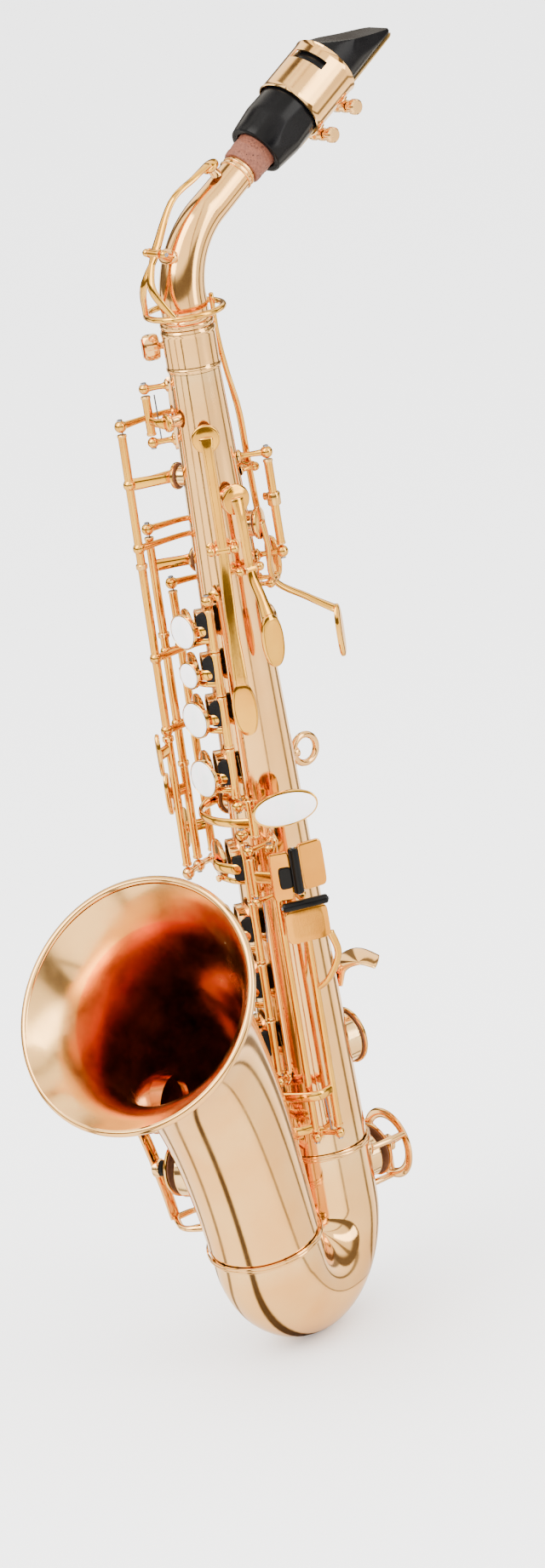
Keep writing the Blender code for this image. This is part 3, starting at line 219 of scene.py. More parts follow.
def bow_path():
    path = [Vector((0, 0, -GAP / 2)), Vector((0, 0, -BOW_DROP / 2)), Vector((0, 0, -BOW_DROP))]
    turn = math.pi - BELL_LEAN
    for i in range(1, BOW_STEPS + 1):
        a = turn * i / BOW_STEPS
        path.append(Vector((0, -BOW_BEND_R * (1 - math.cos(a)), -BOW_DROP - BOW_BEND_R * math.sin(a))))
    path.append(path[-1] + leaning(BELL_LEAN) * BOW_RISE)
    return path


def bow_r(t):
    first, middle, last = BOW_R
    r = first + (middle - first) * 2 * t if t < 0.5 else middle + (last - middle) * (2 * t - 1)
    return r * (1 - 0.034 * math.sin(math.pi * t))


BELL_FOOT = bow_path()[-1]
BELL_START = BELL_FOOT + leaning(BELL_LEAN) * 2 * GAP


def bell_point(t):
    mouth = Vector((0, BELL_MOUTH[0], BELL_MOUTH[1]))
    p1 = BELL_START + leaning(BELL_LEAN) * 50 * MM
    p2 = mouth - leaning(BELL_MOUTH_LEAN) * 45 * MM
    s = 1 - t
    return BELL_START * s ** 3 + p1 * 3 * s * s * t + p2 * 3 * s * t * t + mouth * t ** 3


def bell_r(t):
    cone = BOW_R[2] + (29.5 * MM - BOW_R[2]) * t ** 1.35
    return cone + (BELL_MOUTH_R - 29.5 * MM) * t ** 7


def bell_out(t, angle):
    """Centre of the bell at t, and the direction out of it at an angle round its line."""
    head = (bell_point(t + 0.01) - bell_point(t - 0.01)).normalized()
    across = Vector((1, 0, 0))
    front = across.cross(head)
    if front.y > 0:
        front = -front
    a = math.radians(angle)
    return bell_point(t), across * math.sin(a) + front * math.cos(a)


NECK_DIRECTION = radial(NECK_PLANE) * math.sin(NECK_BEND) + Vector((0, 0, math.cos(NECK_BEND)))
REED_NORMAL = radial(NECK_PLANE) * math.cos(NECK_BEND) - Vector((0, 0, math.sin(NECK_BEND)))
NECK_SIDE = tangent(NECK_PLANE)


def neck_bend_point(turn, offset=0):
    reach = NECK_BEND_R + offset
    out = radial(NECK_PLANE) * (NECK_BEND_R - reach * math.cos(turn))
    return out + Vector((0, 0, NECK_BASE_Z + NECK_RISE + reach * math.sin(turn)))


def neck_point(s):
    return neck_bend_point(NECK_BEND) + NECK_DIRECTION * s


def along_mouthpiece(s, down=0, side=0):
    return neck_point(MOUTHPIECE_START + s) + REED_NORMAL * down + NECK_SIDE * side


# ---------------------------------------------------------------- shells

def smooth_path(points):
    """Points of a smooth curve through a few given ones."""
    points = [Vector(p) for p in points]
    ends = [points[0] * 2 - points[1]] + points + [points[-1] * 2 - points[-2]]
    result = []
    for i in range(1, len(ends) - 2):
        a, b, c, d = ends[i - 1:i + 3]
        for k in range(PATH_STEPS):
            t = k / PATH_STEPS
            result.append(0.5 * (2 * b + (c - a) * t + (2 * a - 5 * b + 4 * c - d) * t * t
                                 + (3 * b - a - 3 * c + d) * t ** 3))
    return result + [points[-1]]


def spread(values):
    """Values that follow smooth_path, worked out between the given ones."""
    result = []
    for a, b in zip(values, values[1:]):
        for k in range(PATH_STEPS):
            t = k / PATH_STEPS
            t = t * t * (3 - 2 * t)
            result.append(tuple(p + (q - p) * t for p, q in zip(a, b)))
    return result + [values[-1]]


def frames_along(path, start=None):
    count = len(path)
    side = None
    frames = []
    for i in range(count):
        head = (path[min(i + 1, count - 1)] - path[max(i - 1, 0)]).normalized()
        if side is None:
            side = Vector(start) if start else head.orthogonal()
        side = (side - head * side.dot(head)).normalized()
        frames.append((side, head.cross(side), head))
    return frames


def rings_to_shell(rings, closed=False, poles=()):
    """Faces over rings; poles are the points that close the two ends."""
    sides = len(rings[0])
    points = [p for ring in rings for p in ring]
    faces = []
    for i in range(len(rings) if closed else len(rings) - 1):
        low, high = i * sides, ((i + 1) % len(rings)) * sides
        for k in range(sides):
            j = (k + 1) % sides
            faces.append((low + k, low + j, high + j, high + k))
    if poles:
        first, last = len(points), len(points) + 1
        points += [Vector(poles[0]), Vector(poles[1])]
        top = (len(rings) - 1) * sides
        for k in range(sides):
            j = (k + 1) % sides
            faces.append((j, k, first))
            faces.append((top + k, top + j, last))
    return points, faces


def tube(path, radii, sides=20, start=None):
    """Solid bar along a path, round at its two ends; a radius may be a (wide, high) pair."""
    path = [Vector(p) for p in path]
    if not isinstance(radii, list):
        radii = [radii] * len(path)
    radii = [r if isinstance(r, tuple) else (r, r) for r in radii]
    frames = frames_along(path, start)
    poles = (path[0], path[-1])
    first, last = frames[0][2] * min(radii[0]) * END_ROUND, frames[-1][2] * min(radii[-1]) * END_ROUND
    low, high = path[0] + first, path[-1] - last
    caps = [(math.sin(math.pi / 2 * k / 4), math.cos(math.pi / 2 * k / 4)) for k in (3, 2, 1)]
    places = [(low - first * out, radii[0], size, frames[0]) for out, size in caps]
    places.append((low, radii[0], 1, frames[0]))
    places += [(p, r, 1, f) for p, r, f in zip(path[1:-1], radii[1:-1], frames[1:-1])]
    places.append((high, radii[-1], 1, frames[-1]))
    places += [(high + last * out, radii[-1], size, frames[-1]) for out, size in caps[::-1]]
    rings = []
    for point, (wide, tall), size, (side, up, _) in places:
        ring = []
        for k in range(sides):
            a = 2 * math.pi * k / sides
            ring.append(point + side * wide * size * math.cos(a) + up * tall * size * math.sin(a))
        rings.append(ring)
    return rings_to_shell(rings, poles=poles)


def lathe(centre, axis, profile, turns=32, closed=False):
    """Turned shape: profile is (height, radius) pairs; zero radius at both ends closes it."""
    axis = Vector(axis).normalized()
    across = axis.orthogonal().normalized()
    along = axis.cross(across)
    centre = Vector(centre)
    poles = ()
    if not closed:
        poles = (centre + axis * profile[0][0], centre + axis * profile[-1][0])
        profile = [p for p in profile if p[1] > 0]
    rings = []
    for height, radius in profile:
        ring = []
        for k in range(turns):
            a = 2 * math.pi * k / turns
            ring.append(centre + axis * height + (across * math.cos(a) + along * math.sin(a)) * radius)
        rings.append(ring)
    return rings_to_shell(rings, closed=closed, poles=poles)


def ring_loop(centre, normal, radius, wire, turns=64, sides=16):
    profile = [(wire * math.sin(2 * math.pi * k / sides), radius + wire * math.cos(2 * math.pi * k / sides))
               for k in range(sides)]
    return lathe(centre, normal, profile, turns, closed=True)


def ball(centre, radius):
    steps = 12
    profile = [(-radius * math.cos(math.pi * k / steps), radius * math.sin(math.pi * k / steps))
               for k in range(steps + 1)]
    profile[0] = (profile[0][0], 0)
    profile[-1] = (profile[-1][0], 0)
    return lathe(centre, UP, profile, 24)


def plate(centre, normal, along, half_long, half_wide, height, power=2.0, edge=0.5 * MM, dome=0.0, turns=48):
    """Touch plate: a rounded outline with soft edges and a slightly domed or dished top."""
    normal = Vector(normal).normalized()
    along = Vector(along)
    along = (along - normal * along.dot(normal)).normalized()
    across = normal.cross(along)
    steps = [(edge, 0.0), (edge * 0.3, edge * 0.3), (0.0, edge), (0.0, height - edge),
             (edge * 0.3, height - edge * 0.3), (edge, height)]
    steps += [(half_wide * s, height + dome * math.sin(math.pi / 2 * min(1, s * 1.2)))
              for s in (0.3, 0.55, 0.8)]
    rings = []
    for inset, lift in steps:
        ring = []
        for k in range(turns):
            a = 2 * math.pi * k / turns
            c, s = math.cos(a), math.sin(a)
            x = math.copysign(abs(c) ** (2 / power), c) * (half_long - inset)
            y = math.copysign(abs(s) ** (2 / power), s) * (half_wide - inset)
            ring.append(Vector(centre) + along * x + across * y + normal * lift)
        rings.append(ring)
    return rings_to_shell(rings, poles=(Vector(centre), Vector(centre) + normal * (height + dome)))


def arm(path, wide=3.2 * MM, high=2.0 * MM, along=(0, 0, 1), ends=(1.0, 1.0)):
    """Forged key arm: a smooth flat bar that swells a little at its ends."""
    count = len(path)
    sizes = []
    for i in range(count):
        t = i / (count - 1)
        swell = 1 + (ends[0] - 1) * (1 - t) ** 3 + (ends[1] - 1) * t ** 3
        sizes.append((wide / 2 * swell, high / 2))
    return tube(smooth_path(path), spread(sizes), 16, start=along)


class Shape:
    """Points and faces of one piece, each face with the name of its finish."""

    def __init__(self):
        self.points = []
        self.faces = []
        self.finishes = []

    def add(self, shell, finish="lacquer"):
        points, faces = shell
        base = len(self.points)
        self.points += points
        self.faces += [tuple(base + i for i in face) for face in faces]
        self.finishes += [finish] * len(faces)
        return self

    def turn(self, a, b, angle):
        turn = Matrix.Rotation(angle, 4, (b - a).normalized())
        about = Matrix.Translation(a) @ turn @ Matrix.Translation(-a)
        self.points = [about @ p for p in self.points]
        return self


ORIGIN = at(STRAP_ANGLE, STRAP_DISTANCE, STRAP_Z)


def lay_shape(name, shape):
    """Plain mesh object of a shape, moved to the strap ring's frame, its faces pointing out."""
    mesh = bpy.data.meshes.new(name)
    mesh.from_pydata([p - ORIGIN for p in shape.points], [], shape.faces)
    names = list(dict.fromkeys(shape.finishes))
    for finish in names:
        mesh.materials.append(FINISHES[finish])
    mesh.polygons.foreach_set("material_index", [names.index(f) for f in shape.finishes])
    work = bmesh.new()
    work.from_mesh(mesh)
    bmesh.ops.recalc_face_normals(work, faces=work.faces)
    work.to_mesh(mesh)
    work.free()
    mesh.shade_smooth()
    mesh.set_sharp_from_angle(angle=math.radians(38))
    result = bpy.data.objects.new(name, mesh)
    bpy.context.collection.objects.link(result)
    return result


def piece(name, shape, body, nodes=(), extra=()):
    """A finished object: it rides on a body and stands for some nodes, which it hides."""
    result = lay_shape(name, shape)
    join_to(result, extra)
    return settle(result, body, nodes)


def settle(result, body, nodes):
    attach(result, body)
    if nodes:
        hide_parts(*nodes)
    return result


def join_to(result, extra):
    """Merge other mesh objects into this one, keeping the finish of every face."""
    if not extra:
        return
    work = bmesh.new()
    work.from_mesh(result.data)
    for other in extra:
        shift = []
        for material in other.data.materials:
            if material and material.name not in result.data.materials:
                result.data.materials.append(material)
            shift.append(list(result.data.materials).index(material) if material else 0)
        count = len(work.faces)
        work.from_mesh(other.data)
        work.faces.ensure_lookup_table()
        for face in work.faces[count:]:
            face.material_index = shift[face.material_index]
        bpy.data.objects.remove(other)
    work.to_mesh(result.data)
    work.free()


# ---------------------------------------------------------------- geometry node trees

def new_tree(name, inputs):
    """Empty tree with one geometry in and out, and named inputs for its sizes."""
    tree = bpy.data.node_groups.new(name, "GeometryNodeTree")
    tree.is_modifier = True
    tree.interface.new_socket("Geometry", in_out="INPUT", socket_type="NodeSocketGeometry")
    tree.interface.new_socket("Geometry", in_out="OUTPUT", socket_type="NodeSocketGeometry")
    for label, kind, value in inputs:
        socket = tree.interface.new_socket(label, in_out="INPUT", socket_type="NodeSocket" + kind)
        if value is not None:
            socket.default_value = value
    return tree


class Net:
    """Short hand for adding nodes to a tree and wiring them."""

    def __init__(self, tree, grouped=True):
        self.tree = tree
        if grouped:
            self.inputs = tree.nodes.new("NodeGroupInput").outputs
            self.output = tree.nodes.new("NodeGroupOutput")

    def node(self, kind, settings=None, **links):
        made = self.tree.nodes.new(kind)
        for key, value in (settings or {}).items():
            setattr(made, key, value)
        for label, value in links.items():
            self.feed(made, label.replace("_", " "), value)
        return made

    def feed(self, node, label, value):
        numbered = label[0] == "i" and label[1:].isdigit()
        socket = node.inputs[int(label[1:]) if numbered else label]
        if isinstance(value, bpy.types.NodeSocket):
            self.tree.links.new(value, socket)
        elif isinstance(value, (list, set)):
            for one in value:
                self.tree.links.new(one, socket)
        else:
            socket.default_value = value

    def math(self, operation, a, b):
        return self.node("ShaderNodeMath", {"operation": operation}, i0=a, i1=b).outputs[0]

    def finish(self, geometry):
        real = self.node("GeometryNodeRealizeInstances", Geometry=geometry)
        coat = self.node("GeometryNodeSetMaterial", Geometry=real.outputs[0], Material=self.inputs["Finish"])
        self.tree.links.new(coat.outputs[0], self.output.inputs[0])


def shelled(net, mesh, wall):
    """Give an open surface a wall on its inner side."""
    moved = net.node("GeometryNodeExtrudeMesh", {"mode": "FACES"}, Mesh=mesh, Offset_Scale=wall,
                     Individual=False)
    both = net.node("GeometryNodeJoinGeometry", Geometry=[mesh, moved.outputs["Mesh"]])
    closed = net.node("GeometryNodeMergeByDistance", Geometry=both.outputs[0], Distance=1e-6)
    return closed.outputs[0], moved.outputs["Top"]


def horn_wall_tree():
    """Tube of the horn: a circle swept along a curve whose own radius rules it, with a wall."""
    tree = new_tree("horn_wall", [("Wall", "Float", WALL), ("Sides", "Int", 96),
                                  ("Finish", "Material", None), ("Bore finish", "Material", None)])
    net = Net(tree)
    circle = net.node("GeometryNodeCurvePrimitiveCircle", Resolution=net.inputs["Sides"], Radius=1.0)
    radius = net.node("GeometryNodeInputRadius")
    skin = net.node("GeometryNodeCurveToMesh", Curve=net.inputs["Geometry"], Profile_Curve=circle.outputs[0],
                    Scale=radius.outputs[0])
    inward = net.math("MULTIPLY", net.inputs["Wall"], -1.0)
    walled, bore = shelled(net, skin.outputs[0], inward)
    outer = net.node("GeometryNodeSetMaterial", Geometry=walled, Material=net.inputs["Finish"])
    inner = net.node("GeometryNodeSetMaterial", Geometry=outer.outputs[0], Selection=bore,
                     Material=net.inputs["Bore finish"])
    real = net.node("GeometryNodeRealizeInstances", Geometry=inner.outputs[0])
    tree.links.new(real.outputs[0], net.output.inputs[0])
    return tree


def turned_posts_tree():
    """Posts: a flanged stem turned along each curve, with a ball at its far end."""
    tree = new_tree("turned_posts", [("Stem radius", "Float", 1.25 * MM), ("Ball radius", "Float", 2.3 * MM),
                                     ("Finish", "Material", None)])
    net = Net(tree)
    fine = net.node("GeometryNodeResampleCurve", Curve=net.inputs["Geometry"], Count=22)
    place = net.node("GeometryNodeSplineParameter")
    taper = net.node("ShaderNodeFloatCurve", Value=place.outputs["Factor"])
    points = taper.mapping.curves[0].points
    points[0].location = (0.0, 0.9)
    points[1].location = (1.0, 0.55)
    for x, y in ((0.07, 0.88), (0.16, 0.46), (0.5, 0.38), (0.85, 0.46)):
        points.new(x, y)
    taper.mapping.update()
    size = net.math("MULTIPLY", net.math("MULTIPLY", taper.outputs[0], 2.2), net.inputs["Stem radius"])
    circle = net.node("GeometryNodeCurvePrimitiveCircle", Resolution=16, Radius=1.0)
    stems = net.node("GeometryNodeCurveToMesh", Curve=fine.outputs[0], Profile_Curve=circle.outputs[0],
                     Scale=size, Fill_Caps=True)
    end = net.node("GeometryNodeCurveEndpointSelection", Start_Size=0, End_Size=1)
    sphere = net.node("GeometryNodeMeshUVSphere", Segments=20, Rings=12, Radius=net.inputs["Ball radius"])
    balls = net.node("GeometryNodeInstanceOnPoints", Points=fine.outputs[0], Selection=end.outputs[0],
                     Instance=sphere.outputs[0])
    both = net.node("GeometryNodeJoinGeometry", Geometry=[stems.outputs[0], balls.outputs[0]])
    net.finish(both.outputs[0])
    return tree


def placed(net, instance, scale):
    """Instances on the given points, each turned to the point's own facing."""
    facing = net.node("GeometryNodeInputNamedAttribute", {"data_type": "FLOAT_VECTOR"}, Name="facing")
    turn = net.node("FunctionNodeAlignRotationToVector", {"axis": "Z"}, Vector=facing.outputs[0])
    return net.node("GeometryNodeInstanceOnPoints", Points=net.inputs["Geometry"], Instance=instance,
                    Rotation=turn.outputs[0], Scale=scale).outputs[0]


def sized(net, depth=None):
    size = net.node("GeometryNodeInputNamedAttribute", {"data_type": "FLOAT"}, Name="size")
    return net.node("ShaderNodeCombineXYZ", X=size.outputs[0], Y=size.outputs[0],
                    Z=depth if depth is not None else size.outputs[0]).outputs[0]


def slotted_screws_tree():
    """Screw heads with a slot; a point's size is the head's radius."""
    tree = new_tree("slotted_screws", [("Slot width", "Float", 0.3), ("Finish", "Material", None)])
    net = Net(tree)
    head = net.node("GeometryNodeMeshCylinder", Vertices=20, Radius=1.0, Depth=0.9)
    long = net.node("ShaderNodeCombineXYZ", X=2.4, Y=net.inputs["Slot width"], Z=0.5)
    bar = net.node("GeometryNodeMeshCube", Size=long.outputs[0])
    lifted = net.node("GeometryNodeTransform", Geometry=bar.outputs[0], Translation=(0, 0, 0.42))
    cut = net.node("GeometryNodeMeshBoolean", {"operation": "DIFFERENCE", "solver": "EXACT"},
                   i0=head.outputs[0], i1=lifted.outputs[0])
    net.finish(placed(net, cut.outputs[0], sized(net)))
    return tree


def chimney_tree():
    """Tone-hole chimneys: short walled tubes whose point's size is the outer radius."""
    tree = new_tree("tone_hole_chimneys", [("Depth", "Float", 6 * MM), ("Wall share", "Float", 0.12),
                                           ("Finish", "Material", None)])
    net = Net(tree)
    ring = net.node("GeometryNodeMeshCylinder", {"fill_type": "NONE"}, Vertices=48, Radius=1.0, Depth=1.0)
    walled, _ = shelled(net, ring.outputs[0], net.math("MULTIPLY", net.inputs["Wall share"], -1.0))
    net.finish(placed(net, walled, sized(net, net.inputs["Depth"])))
    return tree


def knob_ribs_tree():
    """Milled edge of a knob: small round ribs set in a circle; a point's size is the circle's radius."""
    tree = new_tree("knob_ribs", [("Ribs", "Int", 16), ("Length", "Float", 2.0 * MM),
                                  ("Finish", "Material", None)])
    net = Net(tree)
    circle = net.node("GeometryNodeMeshCircle", Vertices=net.inputs["Ribs"], Radius=1.0)
    rib = net.node("GeometryNodeMeshCylinder", Vertices=8, Radius=0.12, Depth=1.0)
    ribs = net.node("GeometryNodeInstanceOnPoints", Points=circle.outputs[0], Instance=rib.outputs[0])
    real = net.node("GeometryNodeRealizeInstances", Geometry=ribs.outputs[0])
    net.finish(placed(net, real.outputs[0], sized(net, net.inputs["Length"])))
    return tree


def wire_tree():
    """Plain round wire along curves: needle springs, guard wires and key rods."""
    tree = new_tree("round_wire", [("Radius", "Float", 0.35 * MM), ("Finish", "Material", None)])
    net = Net(tree)
    circle = net.node("GeometryNodeCurvePrimitiveCircle", Resolution=10, Radius=net.inputs["Radius"])
    wire = net.node("GeometryNodeCurveToMesh", Curve=net.inputs["Geometry"], Profile_Curve=circle.outputs[0],
                    Fill_Caps=True)
    net.finish(wire.outputs[0])
    return tree


def grown(name, source, tree, **values):
    """Run a tree on an object and keep its result as a plain mesh with its faces pointing out."""
    step = source.modifiers.new(tree.name, "NODES")
    step.node_group = tree
    sockets = {s.name: s.identifier for s in tree.interface.items_tree if s.item_type == "SOCKET"}
    for label, value in values.items():
        step[sockets[label.replace("_", " ")]] = value
    bpy.context.view_layer.update()
    mesh = bpy.data.meshes.new_from_object(source.evaluated_get(bpy.context.evaluated_depsgraph_get()))
    mesh.name = name
    work = bmesh.new()
    work.from_mesh(mesh)
    bmesh.ops.recalc_face_normals(work, faces=work.faces)
    work.to_mesh(mesh)
    work.free()
    for name_left in ("facing", "size"):
        left = mesh.attributes.get(name_left)
        if left and not left.is_required:
            mesh.attributes.remove(left)
    mesh.shade_smooth()
    mesh.set_sharp_from_angle(angle=math.radians(38))
    bpy.data.objects.remove(source)
    result = bpy.data.objects.new(name, mesh)
    bpy.context.collection.objects.link(result)
    return result


def curves_of(paths, radii=None):
    """Curve object with one open run for each path, in the strap ring's frame."""
    curve = bpy.data.curves.new("route", "CURVE")
    curve.dimensions = "3D"
    for i, path in enumerate(paths):
        spline = curve.splines.new("POLY")
        spline.points.add(len(path) - 1)
        for k, point in enumerate(path):
            spline.points[k].co = (*(Vector(point) - ORIGIN), 1)
            spline.points[k].radius = radii[i][k] if radii else 1
    result = bpy.data.objects.new("route", curve)
    bpy.context.collection.objects.link(result)
    return result


def points_of(places):
    """Loose points; each has the way that it faces and a size."""
    mesh = bpy.data.meshes.new("places")
    mesh.from_pydata([Vector(p) - ORIGIN for p, _, _ in places], [], [])
    facing = mesh.attributes.new("facing", "FLOAT_VECTOR", "POINT")
    facing.data.foreach_set("vector", [c for _, way, _ in places for c in Vector(way).normalized()])
    size = mesh.attributes.new("size", "FLOAT", "POINT")
    size.data.foreach_set("value", [s for _, _, s in places])
    result = bpy.data.objects.new("places", mesh)
    bpy.context.collection.objects.link(result)
    return result


def horn_wall(name, path, radii, wall, bore="bore"):
    return grown(name, curves_of([path], [radii]), TREES["wall"], Wall=wall, Finish=FINISHES["lacquer"],
                 Bore_finish=FINISHES[bore])


def posts(name, lines, ball=2.3 * MM, stem=1.25 * MM):
    return grown(name, curves_of(lines), TREES["posts"], Stem_radius=stem, Ball_radius=ball,
                 Finish=FINISHES["key"])


def screws(name, places, finish="steel"):
    return grown(name, points_of(places), TREES["screws"], Finish=FINISHES[finish])


def chimneys(name, places, depth=6 * MM):
    return grown(name, points_of(places), TREES["chimneys"], Depth=depth, Finish=FINISHES["lacquer"])


def wires(name, paths, radius, finish):
    return grown(name, curves_of(paths), TREES["wire"], Radius=radius, Finish=FINISHES[finish])


def milled(name, places, length, ribs=16):
    return grown(name, points_of(places), TREES["ribs"], Length=length, Ribs=ribs,
                 Finish=FINISHES["lacquer"])


# ---------------------------------------------------------------- finishes

def shader_group(name, inputs, outputs):
    """Empty shader group with named sockets."""
    tree = bpy.data.node_groups.new(name, "ShaderNodeTree")
    for label, kind, value in inputs:
        socket = tree.interface.new_socket(label, in_out="INPUT", socket_type="NodeSocket" + kind)
        if value is not None:
            socket.default_value = value
    for label, kind in outputs:
        tree.interface.new_socket(label, in_out="OUTPUT", socket_type="NodeSocket" + kind)
    return tree


def noise(net, where, scale, detail=3.0, rough=0.55):
    made = net.node("ShaderNodeTexNoise", Vector=where, Scale=scale, Detail=detail, Roughness=rough)
    return made.outputs["Fac"]


def ranged(net, value, low, high, to_low=0.0, to_high=1.0):
    made = net.node("ShaderNodeMapRange", Value=value)
    made.inputs["From Min"].default_value = low
    made.inputs["From Max"].default_value = high
    made.inputs["To Min"].default_value = to_low
    made.inputs["To Max"].default_value = to_high
    return made.outputs[0]


def mixed(net, share, a, b):
    made = net.node("ShaderNodeMix", {"data_type": "RGBA"})
    net.feed(made, "i0", share)
    net.feed(made, "i6", a)
    net.feed(made, "i7", b)
    return made.outputs[2]


def tone_group():
    """Slow drift of a colour between two tones, with fine specks of a third."""
    tree = shader_group("tone_drift", [("Colour", "Color", None), ("Deep", "Color", None),
                                       ("Speck", "Color", None), ("Scale", "Float", 40.0),
                                       ("Amount", "Float", 0.5), ("Specks", "Float", 0.1)],
                        [("Colour", "Color"), ("Mask", "Float")])
    net = Net(tree)
    where = net.node("ShaderNodeTexCoord").outputs["Object"]
    drift = ranged(net, noise(net, where, net.inputs["Scale"]), 0.35, 0.7)
    share = net.math("MULTIPLY", drift, net.inputs["Amount"])
    toned = mixed(net, share, net.inputs["Colour"], net.inputs["Deep"])
    dots = ranged(net, noise(net, where, net.math("MULTIPLY", net.inputs["Scale"], 22.0), 1.0), 0.68, 0.74)
    specked = mixed(net, net.math("MULTIPLY", dots, net.inputs["Specks"]), toned, net.inputs["Speck"])
    tree.links.new(specked, net.output.inputs[0])
    tree.links.new(drift, net.output.inputs[1])
    return tree


def handling_group():
    """Roughness of a handled surface: smooth, with faint smears and fine hairline scratches."""
    tree = shader_group("handling_marks", [("Smooth", "Float", 0.12), ("Smeared", "Float", 0.22),
                                           ("Scale", "Float", 60.0), ("Depth", "Float", 0.02)],
                        [("Roughness", "Float"), ("Normal", "Vector")])
    net = Net(tree)
    where = net.node("ShaderNodeTexCoord").outputs["Object"]
    smear = ranged(net, noise(net, where, net.inputs["Scale"], 4.0, 0.6), 0.4, 0.72)
    span = net.math("SUBTRACT", net.inputs["Smeared"], net.inputs["Smooth"])
    rough = net.math("ADD", net.inputs["Smooth"], net.math("MULTIPLY", smear, span))
    stretched = net.node("ShaderNodeMapping", Vector=where, Scale=(9.0, 9.0, 0.6))
    hair = noise(net, stretched.outputs[0], net.math("MULTIPLY", net.inputs["Scale"], 8.0), 2.0, 0.6)
    bump = net.node("ShaderNodeBump", Height=hair, Strength=net.inputs["Depth"], Distance=0.0002)
    tree.links.new(rough, net.output.inputs[0])
    tree.links.new(bump.outputs[0], net.output.inputs[1])
    return tree


def edge_group():
    """Wear of convex edges, and painted shade in concave corners, as two masks."""
    tree = shader_group("edge_wear_and_corner_shade", [("Scale", "Float", 120.0), ("Amount", "Float", 0.6)],
                        [("Edge", "Float"), ("Corner", "Float")])
    net = Net(tree)
    where = net.node("ShaderNodeTexCoord").outputs["Object"]
    sharp = net.node("ShaderNodeNewGeometry").outputs["Pointiness"]
    broken = ranged(net, noise(net, where, net.inputs["Scale"]), 0.35, 0.65, 0.3, 1.0)
    edge = ranged(net, sharp, 0.53, 0.62)
    # concave corners: mask for the painted shade where parts meet
    corner = ranged(net, sharp, 0.47, 0.38)
    strength = net.math("MULTIPLY", broken, net.inputs["Amount"])
    tree.links.new(net.math("MULTIPLY", edge, strength), net.output.inputs[0])
    tree.links.new(net.math("MULTIPLY", corner, strength), net.output.inputs[1])
    return tree


def rgb(r, g, b):
    return (r, g, b, 1.0)


def start_finish(name):
    material = bpy.data.materials.new(name)
    material.use_nodes = True
    tree = material.node_tree
    shader = tree.nodes["Principled BSDF"]
    return material, Net(tree, False), shader


def group_node(net, tree, **values):
    made = net.node("ShaderNodeGroup", {"node_tree": tree})
    for label, value in values.items():
        net.feed(made, label, value)
    return made


def metal_finish(name, colour, deep, worn, corner_shade, smooth, smeared, scale=45.0, coat=0.0):
    """Polished metal: toned colour, worn edges, painted shade in corners and faint handling marks."""
    material, net, shader = start_finish(name)
    tone = group_node(net, GROUPS["tone"], Colour=rgb(*colour), Deep=rgb(*deep), Speck=rgb(*deep),
                      Scale=scale, Amount=0.6, Specks=0.25)
    edge = group_node(net, GROUPS["edge"], Scale=180.0, Amount=0.7)
    worn_colour = mixed(net, edge.outputs["Edge"], tone.outputs["Colour"], rgb(*worn))
    # concave corners take a near-black painted shade
    net.feed(shader, "Base Color", mixed(net, edge.outputs["Corner"], worn_colour, rgb(*corner_shade)))
    marks = group_node(net, GROUPS["marks"], Smooth=smooth, Smeared=smeared, Scale=55.0, Depth=0.03)
    net.feed(shader, "Roughness", marks.outputs["Roughness"])
    net.feed(shader, "Normal", marks.outputs["Normal"])
    shader.inputs["Metallic"].default_value = 1.0
    shader.inputs["Coat Weight"].default_value = coat
    shader.inputs["Coat Roughness"].default_value = 0.04
    return material


def throat_finish(gold, corner_shade):
    """Inside of the bell: gold on the flare, a painted red reflection where it ends and painted red-brown
    shade further in.
    """
    # the red-brown base colour is painted shade deep in the bell
    material = metal_finish("throat_with_painted_shade", (0.62, 0.20, 0.05), (0.36, 0.09, 0.02), (0.90, 0.50, 0.16),
                            corner_shade, 0.14, 0.30, coat=0.15)
    net = Net(material.node_tree, False)
    shader = net.tree.nodes["Principled BSDF"]
    where = net.node("ShaderNodeTexCoord").outputs["Object"]
    parts = net.node("ShaderNodeSeparateXYZ", Vector=where)
    out = leaning(BELL_MOUTH_LEAN)
    level = net.math("ADD", net.math("MULTIPLY", parts.outputs[1], out.y),
                     net.math("MULTIPLY", parts.outputs[2], out.z))
    mouth = (bell_point(1) - ORIGIN).dot(out)
    flare, edge, deep = THROAT_DEPTH
    inner = shader.inputs["Base Color"].links[0].from_socket
    # painted red reflection at the end of the flare, fading into the painted shade
    glow = mixed(net, ranged(net, level, mouth - deep, mouth - edge + 0.3 * MM), inner,
                 rgb(0.86, 0.30, 0.06))
    lip = ranged(net, level, mouth - edge, mouth - flare)
    net.feed(shader, "Base Color", mixed(net, lip, glow, rgb(*gold)))
    return material


def plain_finish(name, colour, deep, speck, smooth, smeared, scale=60.0, amount=0.6, specks=0.3, grain=0.05,
                 sheen=0.0, gloss=0.5):
    """Unplated stuff such as rubber, felt or leather: toned colour over a fine grain."""
    material, net, shader = start_finish(name)
    tone = group_node(net, GROUPS["tone"], Colour=rgb(*colour), Deep=rgb(*deep), Speck=rgb(*speck),
                      Scale=scale, Amount=amount, Specks=specks)
    net.feed(shader, "Base Color", tone.outputs["Colour"])
    marks = group_node(net, GROUPS["marks"], Smooth=smooth, Smeared=smeared, Scale=scale, Depth=grain)
    net.feed(shader, "Roughness", marks.outputs["Roughness"])
    net.feed(shader, "Normal", marks.outputs["Normal"])
    shader.inputs["Sheen Weight"].default_value = sheen
    shader.inputs["Specular IOR Level"].default_value = gloss
    return material


